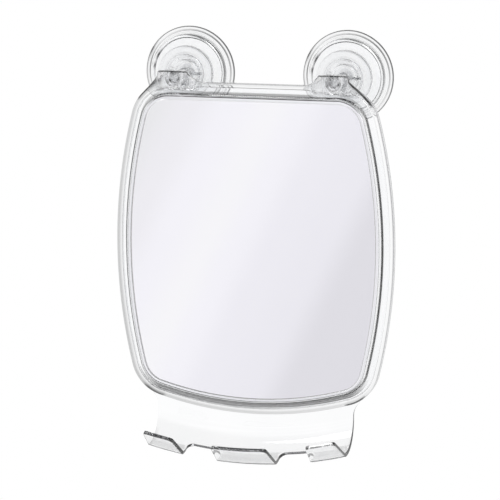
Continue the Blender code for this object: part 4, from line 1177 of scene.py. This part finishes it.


# %% [markdown]
# ## Both cups
# A loop makes the pieces of each cup at its own place. The soft disc is the one piece that bends on the real
# cup: its rim stays on the wall while its middle follows the stud. Here it hangs on no moving body.
#
# A real clear cup shows dark rings at its rims, stronger towards one side, and a few short strokes where a
# corner catches a dark part of the room. Here each is painted shade: a ring of stored values that fades round
# the cup.

# %% Rings of painted shade where the round pieces catch the light
DISC_SHADE_RINGS = ((CUP_RADIUS - 0.75 * MM, CUP_RADIUS, 0.97, 0.6, 30.0, 1),
              (CUP_RADIUS - 2.9 * MM, CUP_RADIUS - 2.1 * MM, 0.9, 0.2, 40.0, 3),
              (CUP_RADIUS - 3.0 * MM, CUP_RADIUS - 2.0 * MM, 0.9, 0.0, 172.0, 9),
              (CUP_RADIUS - 0.9 * MM, CUP_RADIUS, 0.9, 0.0, 152.0, 90))
HOUSING_SHADE_RINGS = ((HOUSING_RADIUS - 0.1 * MM, HOUSING_RADIUS, 0.9, 0.45, 30.0, 1),
                 (STROKE_RADIUS - 0.5 * MM, STROKE_RADIUS + 0.5 * MM, 0.99, 0.0, 150.0, 160),
                 (STROKE_RADIUS - 0.5 * MM, STROKE_RADIUS + 0.5 * MM, 0.95, 0.0, 169.0, 400))

# %% Build both cups
SPRING_SLOT = 1.6 * MM
SPRING_SLOT_FOOT = 1.2 * MM
for side, word in ((-1, "left"), (1, "right")):
    x = side * CUP_X
    disc = add_object(word + "_soft_disc", turned("disc", disc_profile(), x, DISC_SHADE_RINGS), VINYL)
    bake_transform(disc)
    place(disc, None, word + "_suction_membrane")

    housing_mesh = turned("housing", housing_profile(), x, HOUSING_SHADE_RINGS, closed=True)
    housing = add_object(word + "_hard_cup", housing_mesh, CLEAR)
    half_slot = PIN_RADIUS + GAP
    carve(housing, [box_rows((x - POST_RADIUS - TOOL_REACH, -POST_TOP - TOOL_REACH, -half_slot),
                             (x + POST_RADIUS + TOOL_REACH, -SLOT_FLOOR, half_slot))])
    place(housing, "wall_cups", word + "_cup_housing")

    ring = add_object(word + "_twist_ring", turned("ring", ring_profile(), x, closed=True), GRAINED)
    carve(ring, ramp_tools(x))
    place(ring, word + "_lock", word + "_lock_ring")

    stud_mesh = skin("stud", turned_rows(stud_profile(), x, SMALL_ROUND_STEPS))
    stud = add_object(word + "_draw_stud", stud_mesh, NATURAL)
    carve(stud, [rod_rows(x, PIN_RADIUS + GAP, STUD_SHAFT_RADIUS + TOOL_REACH, PIN_HEIGHT)])
    place(stud, word + "_stud", word + "_pull_stud")

    pin_mesh = skin("pin", rod_rows(x, PIN_RADIUS, PIN_HALF_LENGTH, PIN_HEIGHT))
    pin = add_object(word + "_wire_pin", pin_mesh, STEEL)
    place(pin, word + "_stud", word + "_cross_pin")

    stem = add_object(word + "_horn_stem", turned("stem", stem_profile(), x), GRAINED)
    place(stem, "wall_cups", word + "_ball_stem")

    seat_mesh = skin("seat", turned_rows(seat_profile(), x, SMALL_ROUND_STEPS))
    seat = add_object(word + "_snap_seat", seat_mesh, NATURAL)
    seat_top = BALL_RADIUS + SEAT_WALL + TOOL_REACH
    carve(seat, [box_rows((x - SPRING_SLOT, -PIVOT_HEIGHT, SPRING_SLOT_FOOT),
                          (x + SPRING_SLOT, SURFACE + FRAME_DEPTH + TOOL_REACH, seat_top))])
    place(seat, "frame", word + "_ball_seat")

# %% [markdown]
# ## Light, floor and camera
# Clear plastic has no colour of its own, so it shows the room. The room here is a white band all round at
# eye level, which the camera also sees as the white background, and it goes dark overhead and underfoot.
# A wall that faces the camera passes the white band straight through. An edge that bends light up or down
# picks up the dark, and that draws some of the lines; the rest are painted shade stored on the meshes. In
# front of the object the band carries soft slanting streaks, as from tall windows, for the mirror to show.

# %% The room
WHITE = (1.0, 1.0, 1.0)
DARK = (0.08, 0.08, 0.083)
WHITE_BAND = 0.34
DARK_START = 0.62
EVEN_STRENGTH = 0.75
STREAKS_FROM = -0.2
STREAKS_FULL = -0.6
STREAK_PLACE = (-0.282, 0.0, -0.16)
STREAK_SLOPE = (0.915, 0.0, -0.395)
STREAKS_PER_UNIT = 0.25 / 0.0285
STREAK_PHASE = 0.3
STREAK_STOPS = (
    (0.0, (0.86, 0.86, 0.86)), (0.10, (0.91, 0.90, 0.92)), (0.19, (0.965, 0.955, 0.985)),
    (0.29, (0.985, 0.98, 0.985)), (0.36, (0.965, 0.955, 0.985)), (0.44, (0.91, 0.90, 0.935)),
    (0.56, (0.89, 0.88, 0.915)), (0.65, (0.79, 0.78, 0.81)), (0.85, (0.785, 0.775, 0.805)),
    (1.0, (0.86, 0.86, 0.86)))


def add_streaks(tree, direction):
    """Slanting soft streaks: a colour that repeats across the directions."""
    moved = add_node(tree, "VectorMath", {0: direction, 1: STREAK_PLACE}, operation="SUBTRACT")
    across = add_node(tree, "VectorMath", {0: moved.outputs[0], 1: STREAK_SLOPE}, operation="DOT_PRODUCT")
    inputs = {0: across.outputs["Value"], 1: STREAKS_PER_UNIT, 2: STREAK_PHASE}
    scaled = add_node(tree, "Math", inputs, operation="MULTIPLY_ADD").outputs[0]
    repeat = add_node(tree, "Math", {0: scaled}, operation="FRACT").outputs[0]
    return add_ramp(tree, repeat, STREAK_STOPS, "EASE")


def room_colour(tree):
    """The white band with its streaks in front, going dark above and below."""
    direction = add_node(tree, "TexCoord").outputs["Generated"]
    parts = add_node(tree, "SeparateXYZ", {"Vector": direction}).outputs
    height = add_node(tree, "Math", {0: parts["Z"]}, operation="ABSOLUTE").outputs[0]
    band = add_ramp(tree, height, ((WHITE_BAND, WHITE), (DARK_START, DARK)))
    inputs = {"Value": parts["Y"], "From Min": STREAKS_FROM, "From Max": STREAKS_FULL}
    in_front = add_node(tree, "MapRange", inputs).outputs["Result"]
    return mix_colours(tree, in_front, band, add_streaks(tree, direction), "MULTIPLY")


# %% White for the camera, even light for dull surfaces, and the banded room for clear and shiny ones
world = bpy.data.worlds.new("room")
bpy.context.scene.world = world
world.use_nodes = True
tree = world.node_tree
tree.nodes.clear()
banded = add_node(tree, "Background", {"Color": room_colour(tree), "Strength": 1.0}).outputs[0]
even = add_node(tree, "Background", {"Color": (*WHITE, 1.0), "Strength": EVEN_STRENGTH}).outputs[0]
seen = add_node(tree, "Background", {"Color": (*WHITE, 1.0), "Strength": 1.0}).outputs[0]
rays = add_node(tree, "LightPath").outputs
bent = {0: rays["Is Glossy Ray"], 1: rays["Is Transmission Ray"]}
sharp = add_node(tree, "Math", bent, operation="MAXIMUM")
first = add_node(tree, "MixShader", {0: sharp.outputs[0], 1: even, 2: banded})
second = add_node(tree, "MixShader", {0: rays["Is Camera Ray"], 1: first.outputs[0], 2: seen})
add_node(tree, "OutputWorld", {"Surface": second.outputs[0]})
print("room:", len(tree.nodes), "nodes")

# %% The floor
FLOOR_DROP = 0.55
FLOOR_RADII = (0.5, 1.1)
FLOOR_THICKNESS = 10 * MM
FLOOR_STEPS = 96

rows = [[(0.0, 0.0, -FLOOR_DROP)]]
rows += [[(radius * math.cos(a), radius * math.sin(a), -FLOOR_DROP) for a in full_turn(FLOOR_STEPS)]
         for radius in FLOOR_RADII]
rows.append([(x, y, -FLOOR_DROP - FLOOR_THICKNESS) for x, y, _ in rows[-1]])
pale = finish("pale_floor", (0.9, 0.9, 0.9), 0.8)
vary_colour(pale, 3.0, (0.89, 0.89, 0.89), (0.91, 0.91, 0.91))
floor = add_object("floor", skin("floor", rows), pale)
print("floor", FLOOR_DROP, "m below the cups")


# %% The lamps
PANEL_SIZE = 0.9


def add_panel(name, where, towards, power):
    """A soft square lamp that faces a point."""
    data = bpy.data.lights.new(name, "AREA")
    data.shape = "SQUARE"
    data.size = PANEL_SIZE
    data.energy = power
    lamp = bpy.data.objects.new(name, data)
    bpy.context.scene.collection.objects.link(lamp)
    lamp.location = where
    lamp.rotation_euler = (Vector(towards) - Vector(where)).to_track_quat("-Z", "Y").to_euler()


middle = (0.0, SURFACE, -MIRROR_DROP)
add_panel("key_panel", (-1.2, -1.4, 1.3), middle, 9.0)
add_panel("fill_panel", (1.5, -0.9, 0.9), middle, 4.0)
add_panel("rear_panel", (0.6, 1.4, 1.2), middle, 5.0)

# %% The camera
CAMERA_TURN = math.radians(15.86)
CAMERA_RISE = math.radians(9.19)
CAMERA_DISTANCE = 2.1
CAMERA_TARGET = Vector((-1.4 * MM, SURFACE, -MIRROR_DROP - 2.18 * MM))

camera_data = bpy.data.cameras.new("camera")
camera_data.sensor_width = 36.0
camera_data.lens = 245.0
camera = bpy.data.objects.new("camera", camera_data)
bpy.context.scene.collection.objects.link(camera)
away = Vector((math.sin(CAMERA_TURN) * math.cos(CAMERA_RISE),
               -math.cos(CAMERA_TURN) * math.cos(CAMERA_RISE), math.sin(CAMERA_RISE)))
camera.location = CAMERA_TARGET + away * CAMERA_DISTANCE
camera.rotation_euler = (-away).to_track_quat("-Z", "Y").to_euler()
bpy.context.scene.camera = camera

# %% Output colours and light paths
scene = bpy.context.scene
scene.view_settings.view_transform = "Standard"
scene.cycles.max_bounces = 32
scene.cycles.transmission_bounces = 32
scene.cycles.glossy_bounces = 12

# %% [markdown]
# ## Close the lesson
# The dressed model has to stay inside the box that the solids fill.

# %% Bring the scene up to date
bpy.context.view_layer.update()
